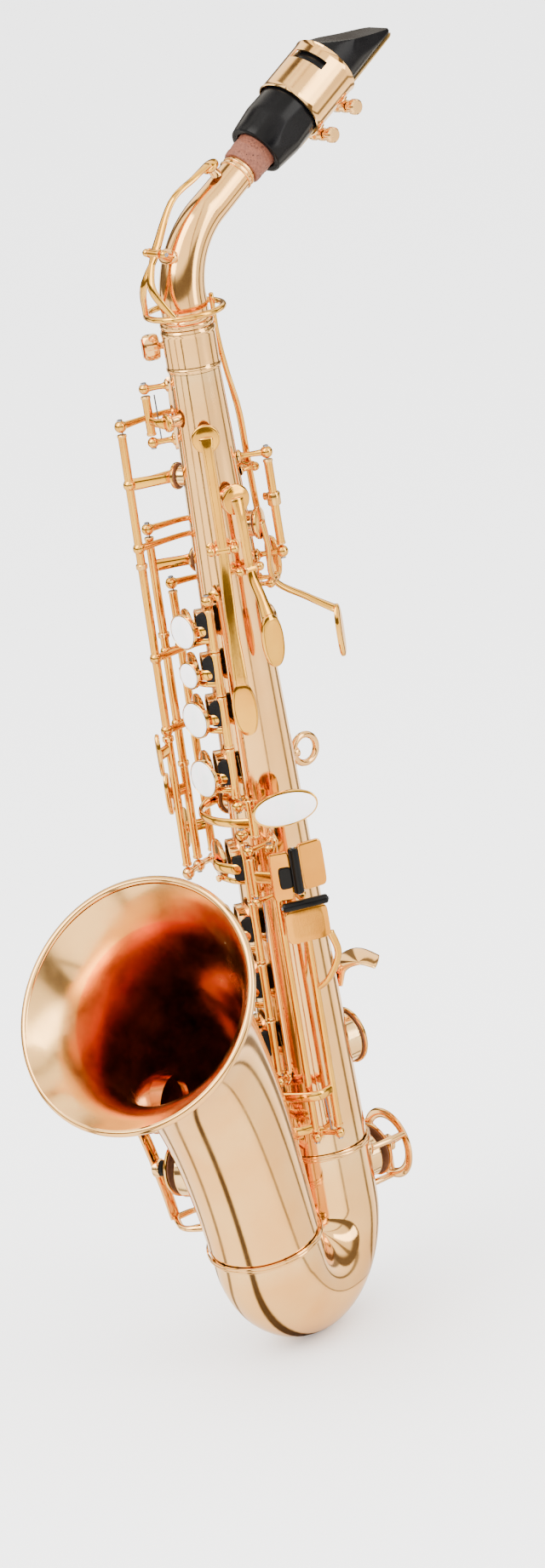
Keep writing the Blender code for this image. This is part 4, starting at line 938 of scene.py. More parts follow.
def cork_finish():
    """Greased cork: red-brown crumbs of several sizes with dark pores."""
    material, net, shader = start_finish("cork")
    where = net.node("ShaderNodeTexCoord").outputs["Object"]
    cells = net.node("ShaderNodeTexVoronoi", Vector=where, Scale=900.0)
    crumbs = mixed(net, ranged(net, cells.outputs["Distance"], 0.0, 0.9), rgb(0.20, 0.055, 0.022),
                   rgb(0.11, 0.026, 0.010))
    pores = ranged(net, noise(net, where, 1300.0, 2.0), 0.6, 0.7)
    net.feed(shader, "Base Color", mixed(net, pores, crumbs, rgb(0.03, 0.008, 0.004)))
    height = net.math("SUBTRACT", noise(net, where, 1500.0), net.math("MULTIPLY", pores, 0.7))
    bump = net.node("ShaderNodeBump", Height=height, Strength=0.55, Distance=0.0004)
    net.feed(shader, "Normal", bump.outputs[0])
    net.feed(shader, "Roughness", ranged(net, pores, 0.0, 1.0, 0.62, 0.9))
    return material


def cane_finish():
    """Reed cane: long pale fibres, darker flecks and a smooth bark."""
    material, net, shader = start_finish("cane")
    where = net.node("ShaderNodeTexCoord").outputs["Object"]
    level = Matrix((NECK_SIDE, REED_NORMAL, NECK_DIRECTION)).to_euler()
    turned = net.node("ShaderNodeMapping", {"vector_type": "POINT"}, Vector=where)
    turned.inputs["Rotation"].default_value = level
    stretched = net.node("ShaderNodeMapping", Vector=turned.outputs[0], Scale=(1.0, 1.0, 0.04))
    fibre = noise(net, stretched.outputs[0], 2200.0, 3.0)
    base = mixed(net, ranged(net, fibre, 0.35, 0.65), rgb(0.42, 0.26, 0.085), rgb(0.30, 0.17, 0.045))
    flecks = ranged(net, noise(net, stretched.outputs[0], 700.0, 1.0), 0.66, 0.72)
    net.feed(shader, "Base Color", mixed(net, flecks, base, rgb(0.33, 0.17, 0.06)))
    bump = net.node("ShaderNodeBump", Height=fibre, Strength=0.25, Distance=0.0001)
    net.feed(shader, "Normal", bump.outputs[0])
    net.feed(shader, "Roughness", ranged(net, fibre, 0.3, 0.7, 0.35, 0.55))
    return material


def pearl_finish():
    """Mother of pearl: milky white with soft clouds of green and pink under a clear polish."""
    material, net, shader = start_finish("pearl")
    where = net.node("ShaderNodeTexCoord").outputs["Object"]
    bent = net.node("ShaderNodeMapping", Vector=where, Scale=(1.0, 1.0, 0.45))
    swirl = noise(net, bent.outputs[0], 190.0, 3.0, 0.6)
    pink = mixed(net, ranged(net, swirl, 0.35, 0.6), rgb(0.86, 0.88, 0.87), rgb(0.90, 0.85, 0.86))
    green = ranged(net, noise(net, bent.outputs[0], 320.0, 2.0), 0.5, 0.7, 0.0, 0.5)
    net.feed(shader, "Base Color", mixed(net, green, pink, rgb(0.74, 0.84, 0.80)))
    net.feed(shader, "Roughness", ranged(net, swirl, 0.3, 0.7, 0.12, 0.26))
    shader.inputs["Coat Weight"].default_value = 0.6
    shader.inputs["Coat Roughness"].default_value = 0.05
    return material


def make_finishes():
    gold, deep = (0.91, 0.53, 0.19), (0.84, 0.41, 0.11)
    # worn edges are real wear; the second colour is the painted shade of concave corners
    worn, corner_shade = (0.97, 0.72, 0.36), (0.10, 0.028, 0.006)
    return {
        "lacquer": metal_finish("lacquered_brass", gold, deep, worn, corner_shade, 0.07, 0.15),
        "key": metal_finish("lacquered_keys", (0.87, 0.46, 0.055), (0.66, 0.25, 0.018), worn, corner_shade,
                            0.07, 0.16),
        "touch": metal_finish("lacquered_touches", (0.84, 0.36, 0.035), (0.62, 0.20, 0.015), worn, corner_shade,
                              0.09, 0.18),
        "bore": metal_finish("lacquered_bore", (0.72, 0.30, 0.10), (0.50, 0.17, 0.05), (0.85, 0.48, 0.2),
                             corner_shade, 0.16, 0.30, coat=0.2),
        "throat": throat_finish(gold, corner_shade),
        "shadow": plain_finish("hole_shadow", (0.020, 0.010, 0.006), (0.010, 0.005, 0.003),
                               (0.03, 0.016, 0.01), 0.6, 0.8),
        "steel": metal_finish("blued_steel", (0.20, 0.23, 0.30), (0.10, 0.13, 0.20), (0.5, 0.5, 0.52),
                              (0.03, 0.03, 0.04), 0.2, 0.34, 200.0),
        "rubber": plain_finish("hard_rubber", (0.0020, 0.0020, 0.0024), (0.0035, 0.0033, 0.0040),
                               (0.008, 0.008, 0.008), 0.2, 0.34, 90.0, 0.6, 0.1, 0.05, gloss=0.12),
        "roller": plain_finish("black_roller", (0.0018, 0.0018, 0.0020), (0.0030, 0.0030, 0.0033),
                               (0.008, 0.008, 0.008), 0.14, 0.24, 120.0, 0.5, 0.1, 0.02, gloss=0.14),
        "felt": plain_finish("black_felt", (0.0030, 0.0028, 0.0030), (0.0060, 0.0055, 0.0055),
                             (0.014, 0.012, 0.012), 0.85, 0.98, 900.0, 0.8, 0.5, 0.6, sheen=0.03,
                             gloss=0.15),
        "leather": plain_finish("pad_leather", (0.14, 0.050, 0.018), (0.09, 0.030, 0.010),
                                (0.05, 0.018, 0.006), 0.45, 0.65, 400.0, 0.8, 0.3, 0.4),
        "cork": cork_finish(),
        "cane": cane_finish(),
        "pearl": pearl_finish(),
    }


# ---------------------------------------------------------------- tubes of the horn

def hole_places():
    """Angle, height and radius of every tone hole in the body tube."""
    stacks = list(UPPER_STACK.values()) + list(LOWER_STACK.values())
    places = [(STACK_CUP, z, r - 1.2 * MM) for z, r, _ in stacks]
    places += [(a, z, r - 1.2 * MM) for a, z, r, *_ in list(SIDE_KEYS.values()) + list(PALM_KEYS.values())]
    return places + [(a, z, r - 1.2 * MM) for a, z, r in (GS_CUP, OCTAVE_CUP, LOW_EB_CUP)]


def rolled_ring(radius, half_height, rise):
    """Profile of a thin joint ring: two fine beads with a groove between them."""
    inner = radius - 0.5 * MM
    profile = [(-half_height, inner)]
    for k in range(25):
        t = k / 24
        profile.append((half_height * (2 * t - 1), radius + rise * abs(math.sin(2 * math.pi * t)) ** 0.7))
    return profile + [(half_height, inner)]


def make_body():
    count = 24
    path = [Vector((0, 0, GAP / 2 + (BODY_LENGTH - GAP / 2) * i / count)) for i in range(count + 1)]
    tube_wall = horn_wall("body_wall", path, [body_r(p.z) for p in path], WALL)
    places = []
    floors = Shape()
    for angle, z, radius in hole_places():
        depth = 6 * MM
        places.append((at(angle, body_r(z) + CHIMNEY_RISE - depth / 2, z), radial(angle), radius))
        floors.add(lathe(at(angle, body_r(z) - 0.5 * MM, z), radial(angle),
                         [(0, 0), (0, radius * 0.93), (0.8 * MM, radius * 0.93), (0.8 * MM, 0)], 32),
                   "shadow")
        rim = CHIMNEY_RISE - 0.25 * MM
        floors.add(ring_loop(at(angle, body_r(z) + rim, z), radial(angle), radius - 0.35 * MM, 0.42 * MM,
                             48, 10))
    saddles = []
    for cup_angle, _, _, hinge_z, touch_angle, *_ in PALM_KEYS.values():
        saddles += saddle(cup_angle + (touch_angle - cup_angle) * 0.35, hinge_z, 2.6 * MM)
    saddles += saddle(*OCTAVE_LEVER)
    stems = posts("body_saddles", saddles, ball=1.75 * MM, stem=1.0 * MM)
    rod_angle, rod_distance, rod_ends = OCTAVE_ROD
    stems_tall = posts("octave_rod_posts", [[at(rod_angle, body_r(z), z), at(rod_angle, rod_distance, z)]
                                            for z in rod_ends])
    ends = [(at(rod_angle, rod_distance, z) + UP * sign * 2.1 * MM, UP * sign, 1.0 * MM)
            for z, sign in zip(rod_ends, (-1, 1))]
    holes = chimneys("body_chimneys", places)
    piece("body_tube_shell", floors, "horn", ["body_tube"],
          extra=[tube_wall, holes, stems, stems_tall, screws("octave_rod_screws", ends)])


def saddle(angle, z, half_width):
    """Two small posts, side by side, for a hinge that lies across the body."""
    spread_angle = math.degrees(math.asin((half_width + 1.6 * MM) / body_r(z)))
    middle = at(angle, body_r(z) + SADDLE_RISE, z)
    return [[at(angle + sign * spread_angle, body_r(z) - 0.3 * MM, z),
             middle + tangent(angle) * sign * (half_width + 1.6 * MM)] for sign in (-1, 1)]


def make_bow():
    path = bow_path()
    count = len(path) - 1
    wall = horn_wall("bow_wall", path, [bow_r(i / count) for i in range(count + 1)], 1.1 * MM)
    angle, z, radius, _ = LOW_C
    hole = radius - 1.4 * MM
    out = radial(angle)
    shape = Shape()
    shape.add(lathe(at(angle, BOW_R[0] - 0.5 * MM, z), out,
                    [(0, 0), (0, hole * 0.93), (0.8 * MM, hole * 0.93), (0.8 * MM, 0)], 32), "shadow")
    shape.add(ring_loop(at(angle, BOW_R[0] + CHIMNEY_RISE - 0.25 * MM, z), out, hole - 0.35 * MM, 0.42 * MM,
                        48, 10))
    rim = chimneys("bow_chimney", [(at(angle, BOW_R[0] + CHIMNEY_RISE - 3 * MM, z), out, hole)])
    hinge_angle, hinge_d = LOW_C_HINGE
    stems = posts("bow_posts", [[at(hinge_angle, BOW_R[0] - 0.3 * MM, h), at(hinge_angle, hinge_d, h)]
                                for h in LOW_C_POSTS])
    piece("bow_shell", shape, "horn", ["bow"], extra=[wall, rim, stems])


def make_bell():
    steps = 60
    path = [bell_point(i / steps) for i in range(steps + 1)]
    wall = horn_wall("bell_wall", path, [bell_r(i / steps) for i in range(steps + 1)], 0.8 * MM,
                     bore="throat")
    lean = leaning(BELL_MOUTH_LEAN)
    shape = Shape()
    shape.add(ring_loop(path[-1] - lean * 0.8 * MM, lean, BELL_MOUTH_R, BELL_RIM_R, 144, 24))
    places = []
    for t, angle, radius, _ in LOW_KEYS.values():
        centre, out = bell_out(t, angle)
        hole = radius - 1.4 * MM
        depth = 8 * MM
        places.append((centre + out * (bell_r(t) + CHIMNEY_RISE - depth / 2), out, hole))
        shape.add(lathe(centre + out * (bell_r(t) - 0.6 * MM), out,
                        [(0, 0), (0, hole * 0.93), (0.9 * MM, hole * 0.93), (0.9 * MM, 0)], 32), "shadow")
        shape.add(ring_loop(centre + out * (bell_r(t) + CHIMNEY_RISE - 0.25 * MM), out, hole - 0.35 * MM,
                            0.42 * MM, 48, 10))
    rims = chimneys("bell_chimneys", places, 8 * MM)
    piece("bell_shell", shape, "horn", ["bell"], extra=[wall, rims])


def make_joint_rings():
    low = Shape().add(lathe((0, 0, 0), UP, rolled_ring(BODY_RING_R[1] - 0.25 * MM, 1.15 * MM, 0.22 * MM),
                            96, closed=True))
    piece("body_ring", low, "horn", ["body_bow_ring"])
    high = Shape().add(lathe(BELL_FOOT, leaning(BELL_LEAN),
                             rolled_ring(BELL_RING_R[1] - 0.25 * MM, 1.15 * MM, 0.22 * MM), 96,
                             closed=True))
    piece("bell_ring", high, "horn", ["bell_bow_ring"])


# ---------------------------------------------------------------- neck

def make_receiver():
    low, high = 302 * MM, 317.6 * MM
    inner, outer = 8.62 * MM, 9.7 * MM
    shape = Shape()
    profile = [(low, inner), (low, outer)]
    profile += [(low + 0.3 * MM + 1.6 * MM * k / 8, outer + 0.3 * MM * math.sin(math.pi * k / 8))
                for k in range(9)]
    profile += [(low + 2.6 * MM, outer), (high - 2.6 * MM, outer)]
    profile += [(high - 2.2 * MM + 1.9 * MM * k / 8, outer + 0.3 * MM * math.sin(math.pi * k / 8))
                for k in range(9)]
    profile += [(high, outer - 0.1 * MM), (high, inner)]
    shape.add(lathe((0, 0, 0), UP, profile, 96, closed=True))
    lug_angle = -140
    across = tangent(lug_angle)
    lug = at(lug_angle, 11.6 * MM, (low + high) / 2)
    for sign in (-1, 1):
        ear = lug + across * sign * 0.5 * MM if sign > 0 else lug - across * 3.6 * MM
        shape.add(plate(ear, across, UP, 4.2 * MM, 2.9 * MM, 3.1 * MM, 3.2, 0.4 * MM))
        shape.add(lathe(lug + across * sign * 0.7 * MM, across * sign,
                        mm((0, 0), (0, 2.2), (3.2, 2.2), (3.5, 1.8), (3.5, 0))))
    piece("neck_socket", shape, "horn", ["neck_receiver"])
    knob = Shape()
    knob.add(lathe(lug - across * 4.5 * MM, across, mm((0, 0), (0, 0.9), (0.3, 1.1), (12, 1.1), (12, 0)),
                   20))
    profile = mm((0, 0), (0, 1.9), (0.5, 2.3), (1.6, 1.7), (2.4, 2.2), (3.4, 1.5), (4.6, 1.3), (6.0, 1.9),
                 (6.0, 0))
    knob.add(lathe(lug + across * 4.6 * MM, across, profile, 24))
    knob.add(plate(lug + across * 9.6 * MM, across, UP, 4.9 * MM, 3.1 * MM, 6.3 * MM, 2.0, 1.6 * MM,
                   0.3 * MM))
    ribs = milled("clamp_knob_ribs", [(lug + across * 12.8 * MM, across, 3.0 * MM)], 3.6 * MM, 12)
    piece("clamp_knob", knob, "neck_clamp_screw", ["neck_clamp_screw"], extra=[ribs])


def neck_line():
    """Centre line and outer radius of the neck from its tenon to its mouthpiece end."""
    tenon = 8.3 * MM
    path, radii = [], []
    for k in range(7):
        path.append(Vector((0, 0, 303.2 * MM + (NECK_BASE_Z - 303.2 * MM) * k / 6)))
        radii.append(tenon)
    for k in range(1, 5):
        path.append(Vector((0, 0, NECK_BASE_Z + NECK_RISE * k / 4)))
        radii.append(tenon + (NECK_R[0] - tenon) * k / 4)
    steps = 40
    for k in range(1, steps + 1):
        path.append(neck_bend_point(NECK_BEND * k / steps))
        radii.append(NECK_R[0] + (NECK_R[1] - NECK_R[0]) * k / steps)
    for k in range(1, 13):
        path.append(neck_point(44 * MM * k / 12))
        radii.append(NECK_R[1] + (NECK_END_R - NECK_R[1]) * min(1, k / 6))
    return path, radii


def make_neck():
    path, radii = neck_line()
    wall = horn_wall("neck_wall", path, radii, WALL)
    shape = Shape()
    collar = [(0.05 * MM, 8.1 * MM), (0.05 * MM, 9.5 * MM)]
    collar += [(0.15 * MM + 1.9 * MM * k / 10, 9.5 * MM + 0.35 * MM * math.sin(math.pi * k / 10))
               for k in range(11)]
    collar += mm((2.15, 9.2), (3.0, 8.6), (3.0, 8.1))
    shape.add(lathe((0, 0, NECK_BASE_Z), UP, collar, 96, closed=True))
    for s, radius in ((17.4 * MM, 6.5 * MM), (19.2 * MM, 6.4 * MM)):
        shape.add(ring_loop(neck_point(s), NECK_DIRECTION, radius, 0.35 * MM, 72, 10))
    turn = NECK_SADDLE * NECK_BEND
    shape.add(lathe(neck_point(11 * MM) - REED_NORMAL * 5.6 * MM, -REED_NORMAL,
                    mm((0, 0), (0, 2.6), (0.8, 2.0), (3.2, 1.7), (3.4, 1.4), (3.4, 0))))
    foot, head = neck_bend_point(turn, 6.6 * MM), neck_bend_point(turn, 11.2 * MM)
    out = (head - foot).normalized()
    shape.add(plate(foot - out * 0.4 * MM, out, NECK_SIDE, 4.4 * MM, 2.9 * MM, 2.2 * MM, 2.4, 0.5 * MM))
    shape.add(tube([foot, head], 1.4 * MM, 16))
    ears = posts("neck_saddle_ears", [[foot + NECK_SIDE * sign * 2.8 * MM,
                                       neck_bend_point(turn, 13.4 * MM) + NECK_SIDE * sign * 5.0 * MM]
                                      for sign in (-1, 1)], 1.5 * MM, 0.8 * MM)
    pins = screws("neck_saddle_screws", [(neck_bend_point(turn, 13.4 * MM) + NECK_SIDE * sign * 6.3 * MM,
                                          NECK_SIDE * sign, 0.75 * MM) for sign in (-1, 1)])
    piece("neck_tube", shape, "neck", ["neck"], extra=[wall, ears, pins])
    cork = Shape()
    profile = []
    for k in range(41):
        t = k / 40
        ripple = 0.10 * MM * math.sin(t * 31) + 0.06 * MM * math.sin(t * 77)
        profile.append((20.6 * MM + 22.2 * MM * t, 7.55 * MM + ripple - 0.5 * MM * (abs(2 * t - 1) ** 14)))
    profile = [(20.5 * MM, 6.3 * MM)] + profile + [(42.9 * MM, 6.3 * MM)]
    start = neck_point(0)
    cork.add(lathe(start, NECK_DIRECTION, profile, 72, closed=True), "cork")
    piece("tenon_cork", cork, "neck", ["neck_cork"])


def make_neck_key():
    turn = NECK_SADDLE * NECK_BEND
    pivot = neck_bend_point(turn, 13.6 * MM)
    half = NECK_SIDE * 3.4 * MM
    foot = neck_point(11 * MM) - REED_NORMAL * (9.0 * MM + GAP)
    shape = Shape()
    cup(shape, foot, -REED_NORMAL, 3.4 * MM)
    top = foot - REED_NORMAL * 2.3 * MM
    upper = [pivot, neck_bend_point(0.8 * NECK_BEND, 14.3 * MM),
             neck_point(3 * MM) - REED_NORMAL * 12.3 * MM, top]
    sizes = spread(mm((2.3, 1.1), (1.5, 1.0), (1.7, 1.0), (2.4, 0.7)))
    shape.add(tube(smooth_path(upper), sizes, 16, start=NECK_SIDE), "key")
    loop_z, loop_r = NECK_BASE_Z + 5.5 * MM, 14.0 * MM
    shape.add(ring_loop((0, 0, loop_z), UP, loop_r, 1.15 * MM, 96, 14), "key")
    for sign in (-1, 1):
        side = tangent(NECK_PLANE) * sign
        low = at(NECK_PLANE + 180 + sign * 38, loop_r, loop_z)
        middle = (low + pivot) / 2 - radial(NECK_PLANE) * 4.6 * MM + side * 1.8 * MM
        sizes = spread(mm((1.5, 1.0), (1.9, 1.0), (1.3, 1.1)))
        shape.add(tube(smooth_path([pivot + side * MM, middle, low]), sizes, 14, start=NECK_SIDE), "key")
    hinge(shape, pivot - half, pivot + half, 1.75 * MM)
    piece("neck_octave_arm", shape, "neck_octave_key", ["neck_octave_key"])


# ---------------------------------------------------------------- mouthpiece, reed and ligature

def beak_top(s):
    """Height of the beak's sloping top below the centre line, with a slight hollow."""
    t = (s - 43 * MM) / (29.5 * MM)
    return -12.2 * MM + 19.8 * MM * t + 0.7 * MM * math.sin(math.pi * max(0, min(1, t)))


def mouthpiece_r(s):
    table = ((0, 10.4), (2, 10.8), (11, 11.85), (22, 11.5), (44, 10.9), (72, 10.4))
    for (a, ra), (b, rb) in zip(table, table[1:]):
        if s <= b * MM:
            return (ra + (rb - ra) * (s / MM - a) / (b - a)) * MM
    return table[-1][1] * MM


def make_mouthpiece():
    sides = 160
    rings = []
    for s, radius in ((18 * MM, 8.0 * MM), (9 * MM, 8.05 * MM), (0.5 * MM, 8.1 * MM), (0.1 * MM, 8.5 * MM)):
        rings.append([along_mouthpiece(s, radius * math.sin(2 * math.pi * k / sides),
                                       radius * math.cos(2 * math.pi * k / sides)) for k in range(sides)])
    stations = [0, 0.15 * MM, 0.5 * MM] + [k * 1.2 * MM for k in range(1, 60)] + [71.6 * MM]
    for s in stations:
        radius = mouthpiece_r(s) - 0.7 * MM * max(0, 1 - s / (0.5 * MM)) ** 2
        rise = (12 * MM - REED_PLANE) * min(1, (11 * MM - s) / MM)
        table = REED_PLANE if s > 11 * MM else REED_PLANE + rise
        flank = 11 * MM + (6.7 * MM - 11 * MM) * max(0, (s - 50 * MM)) / (22.5 * MM)
        top = beak_top(s) if s > 43 * MM else -20 * MM
        ring = []
        for k in range(sides):
            a = 2 * math.pi * k / sides
            x, y = radius * math.cos(a), radius * math.sin(a)
            tip = max(0, (s - 68.5 * MM) / (3.2 * MM))
            x = max(-flank, min(flank, x)) * (1 - 0.28 * tip ** 3)
            ring.append(along_mouthpiece(s, max(top, min(table, y)), x))
        rings.append(ring)
    shape = Shape().add(rings_to_shell(rings, poles=(along_mouthpiece(18 * MM),
                                                     along_mouthpiece(71.8 * MM, 8.1 * MM))), "rubber")
    piece("mouthpiece_body", shape, "mouthpiece", ["mouthpiece"])


def make_reed():
    rings = []
    across = 24
    for k in range(50):
        s = 13 * MM + 58.5 * MM * k / 49
        vamp = max(0, (s - 42 * MM) / (29.6 * MM))
        half = REED_HALF_WIDTH * (1 - 0.22 * max(0, (s - 69 * MM) / (2.6 * MM)) ** 2)
        low = REED_PLANE + GAP
        ring = [along_mouthpiece(s, low, half * (1 - 2 * i / across)) for i in range(across + 1)]
        for i in range(across + 1):
            x = half * (2 * i / across - 1)
            bark = math.sqrt(REED_R ** 2 - x * x)
            thin = low + 0.25 * MM + (bark - low) * (1 - vamp) ** 1.15 * (1 - 0.25 * vamp * (x / half) ** 2)
            ring.append(along_mouthpiece(s, min(bark, thin) if vamp > 0 else bark, x))
        rings.append(ring)
    ends = [sum(ring, Vector()) / len(ring) for ring in (rings[0], rings[-1])]
    piece("reed_blade", Shape().add(rings_to_shell(rings, poles=ends), "cane"), "mouthpiece", ["reed"])


def make_ligature():
    low, high = LIGATURE_SPAN
    outer = LIGATURE_R[1]
    turns, steps = 144, 24
    windows = ((205, 34, 0.62, 0.80), (128, 22, 0.45, 0.66))
    points, faces = [], []
    for i in range(turns + 1):
        a = 2 * math.pi * (5 + 350 * i / turns) / 360
        for k in range(steps + 1):
            s = low + 0.1 * MM + (high - low - 0.2 * MM) * k / steps
            edge = 0.25 * MM * (abs(2 * k / steps - 1) > 0.93)
            r = outer - 0.1 * MM + edge - 0.2 * MM
            points.append(along_mouthpiece(s, r * math.cos(a), r * math.sin(a)))
    for i in range(turns):
        for k in range(steps):
            turn = 5 + 350 * (i + 0.5) / turns
            share = (k + 0.5) / steps
            if any(abs(turn - mid) < half and a < share < b for mid, half, a, b in windows):
                continue
            base = i * (steps + 1) + k
            faces.append((base, base + 1, base + steps + 2, base + steps + 1))
    mesh = bpy.data.meshes.new("ligature_sheet")
    mesh.from_pydata([p - ORIGIN for p in points], [], faces)
    work = bmesh.new()
    work.from_mesh(mesh)
    bmesh.ops.delete(work, geom=[v for v in work.verts if not v.link_faces], context="VERTS")
    bmesh.ops.recalc_face_normals(work, faces=work.faces)
    bmesh.ops.solidify(work, geom=work.faces[:], thickness=0.6 * MM)
    bmesh.ops.recalc_face_normals(work, faces=work.faces)
    work.to_mesh(mesh)
    work.free()
    mesh.materials.append(FINISHES["lacquer"])
    mesh.shade_smooth()
    mesh.set_sharp_from_angle(angle=math.radians(38))
    band = bpy.data.objects.new("ligature_sheet", mesh)
    bpy.context.collection.objects.link(band)
    shape = Shape()
    for s in LIGATURE_SCREWS:
        for sign in (-1, 1):
            foot = along_mouthpiece(s, outer - 0.5 * MM, sign * 2.3 * MM)
            shape.add(tube([foot, foot + REED_NORMAL * 1.8 * MM], (2.9 * MM, 1.1 * MM), 16,
                           start=NECK_DIRECTION))
            shape.add(lathe(along_mouthpiece(s, outer + 3 * MM, sign * 1.2 * MM), NECK_SIDE * sign,
                            mm((0, 0), (0, 2.2), (0.2, 2.4), (2.0, 2.4), (2.2, 2.2), (2.2, 0)), 24))
    for side in (-4.2, 4.2):
        shape.add(tube([along_mouthpiece(low + 1.5 * MM, outer - 1.2 * MM, side * MM),
                        along_mouthpiece(high - 1.5 * MM, outer - 1.2 * MM, side * MM)], 0.45 * MM, 10))
    piece("ligature_band", shape, "mouthpiece", ["ligature"], extra=[band])
    for name, s in zip(("ligature_screw_rear", "ligature_screw_front"), LIGATURE_SCREWS):
        reach = NECK_SIDE * -1
        middle = along_mouthpiece(s, outer + 3 * MM)
        knob = Shape()
        knob.add(lathe(middle - reach * 4.6 * MM, reach, mm((0, 0), (0, 0.7), (0.2, 0.9), (11, 0.9),
                                                            (11, 0)), 16))
        profile = mm((0, 0), (0, 1.5), (0.4, 1.8), (1.4, 1.3), (2.2, 1.6), (2.7, 2.7), (4.8, 2.8),
                     (5.4, 2.2), (5.5, 0))
        knob.add(lathe(middle + reach * 3.8 * MM, reach, profile, 32))
        ribs = milled(name + "_ribs", [(middle + reach * 7.5 * MM, reach, 2.62 * MM)], 2.0 * MM, 18)
        piece(name + "_knob", knob, name, [name], extra=[ribs])


# ---------------------------------------------------------------- parts shared by the keys

def cup(shape, centre, normal, radius):
    """Pad cup: leather pad, rolled brass edge and a low stepped dome."""
    r = radius
    shape.add(lathe(centre, normal, [(0.05 * MM, 0), (0.05 * MM, r * 0.82), (0.25 * MM, r * 0.94),
                                     (0.9 * MM, r * 0.95), (0.9 * MM, 0)], 40), "leather")
    profile = [(0.6 * MM, r * 0.9), (0.55 * MM, r * 0.97), (0.7 * MM, r), (1.5 * MM, r),
               (1.75 * MM, r * 0.985), (1.95 * MM, r * 0.93), (2.0 * MM, r * 0.84), (2.05 * MM, r * 0.78),
               (2.25 * MM, r * 0.60), (2.36 * MM, r * 0.34), (2.4 * MM, 0)]
    shape.add(lathe(centre, normal, [(0.6 * MM, 0)] + profile, 48), "key")


def hinge(shape, a, b, radius=1.8 * MM):
    """Hinge tube with a shoulder ring at each end."""
    a, b = Vector(a), Vector(b)
    length = (b - a).length
    collar, edge = 0.9 * MM, 0.22 * MM
    r = radius
    profile = [(0, 0), (0, r * 0.9), (edge, r), (collar, r), (collar + 0.1 * MM, r * 0.88),
               (length - collar - 0.1 * MM, r * 0.88), (length - collar, r), (length - edge, r),
               (length, r * 0.9), (length, 0)]
    shape.add(lathe(a, b - a, profile, 24), "key")


def pearl_touch(name, body, nodes, centre, normal, radius, about):
    """Domed pearl disc that sits in its own holder."""
    r = radius
    profile = [(0, 0), (0, r * 0.97), (0.3 * MM, r)]
    profile += [(0.3 * MM + 0.85 * MM * math.sin(math.pi / 2 * k / 8),
                 r * math.cos(math.pi / 2 * k / 8) ** 0.6) for k in range(1, 8)]
    profile += [(1.15 * MM, 0)]
    shape = Shape().add(lathe(centre, normal, profile, 48), "pearl").turn(*about)
    piece(name, shape, body, nodes)


def holder(shape, centre, normal, radius):
    r = radius
    profile = [(0, 0), (0, r * 0.6), (0.3 * MM, r * 0.92), (0.8 * MM, r), (1.9 * MM, r * 1.0),
               (2.05 * MM, r * 0.975), (1.9 * MM, r * 0.95), (1.5 * MM, r * 0.94), (1.5 * MM, 0)]
    shape.add(lathe(centre, normal, profile, 48), "key")


def rib_strip(angle, z_low, z_high, half_angle=6.5):
    """Thin strip soldered along the body, round at its ends, that carries a row of posts."""
    rings = []
    length = z_high - z_low
    for k in range(41):
        z = z_low + length * k / 40
        end = min(1, min(z - z_low, z_high - z) / (3 * MM))
        wide = half_angle * max(0.08, math.sqrt(max(0, 1 - (1 - end) ** 2)))
        low = body_r(z) + 0.15 * MM
        ring = [at(angle - wide + wide * 2 * i / 8, low, z) for i in range(9)]
        ring += [at(angle + wide - wide * 2 * i / 8, low + RIB_H * (0.75 if i in (0, 8) else 1), z)
                 for i in range(9)]
        rings.append(ring)
    ends = [sum(ring, Vector()) / len(ring) for ring in (rings[0], rings[-1])]
    return rings_to_shell(rings, poles=ends)


def post_row(name, node, rib_angle, z_low, z_high, ends, ball=2.3 * MM):
    """Rib with its posts, the screws in their balls and a needle spring at every other post."""
    shape = Shape().add(rib_strip(rib_angle, z_low, z_high))
    lines = [[at(rib_angle, body_r(p.z) + RIB_H, p.z), p] for p in ends]
    heads, needles = [], []
    middle = (min(p.z for p in ends) + max(p.z for p in ends)) / 2
    for p in ends:
        way = UP if p.z > middle else -UP
        heads.append((p + way * (ball - 0.25 * MM), way, 1.05 * MM))
        out = (p - at(rib_angle, body_r(p.z), p.z)).normalized()
        side = out.cross(UP)
        start = p - out * 3.2 * MM
        needles.append([start, start - way * 9 * MM + side * 0.6 * MM,
                        start - way * 17 * MM + side * 1.6 * MM])
    piece(name, shape, "horn", [node], extra=[
        posts(name + "_stems", lines, ball), screws(name + "_screws", heads),
        wires(name + "_springs", [smooth_path(n) for n in needles[::2]], NEEDLE_R, "steel")])


# ---------------------------------------------------------------- fittings of the body

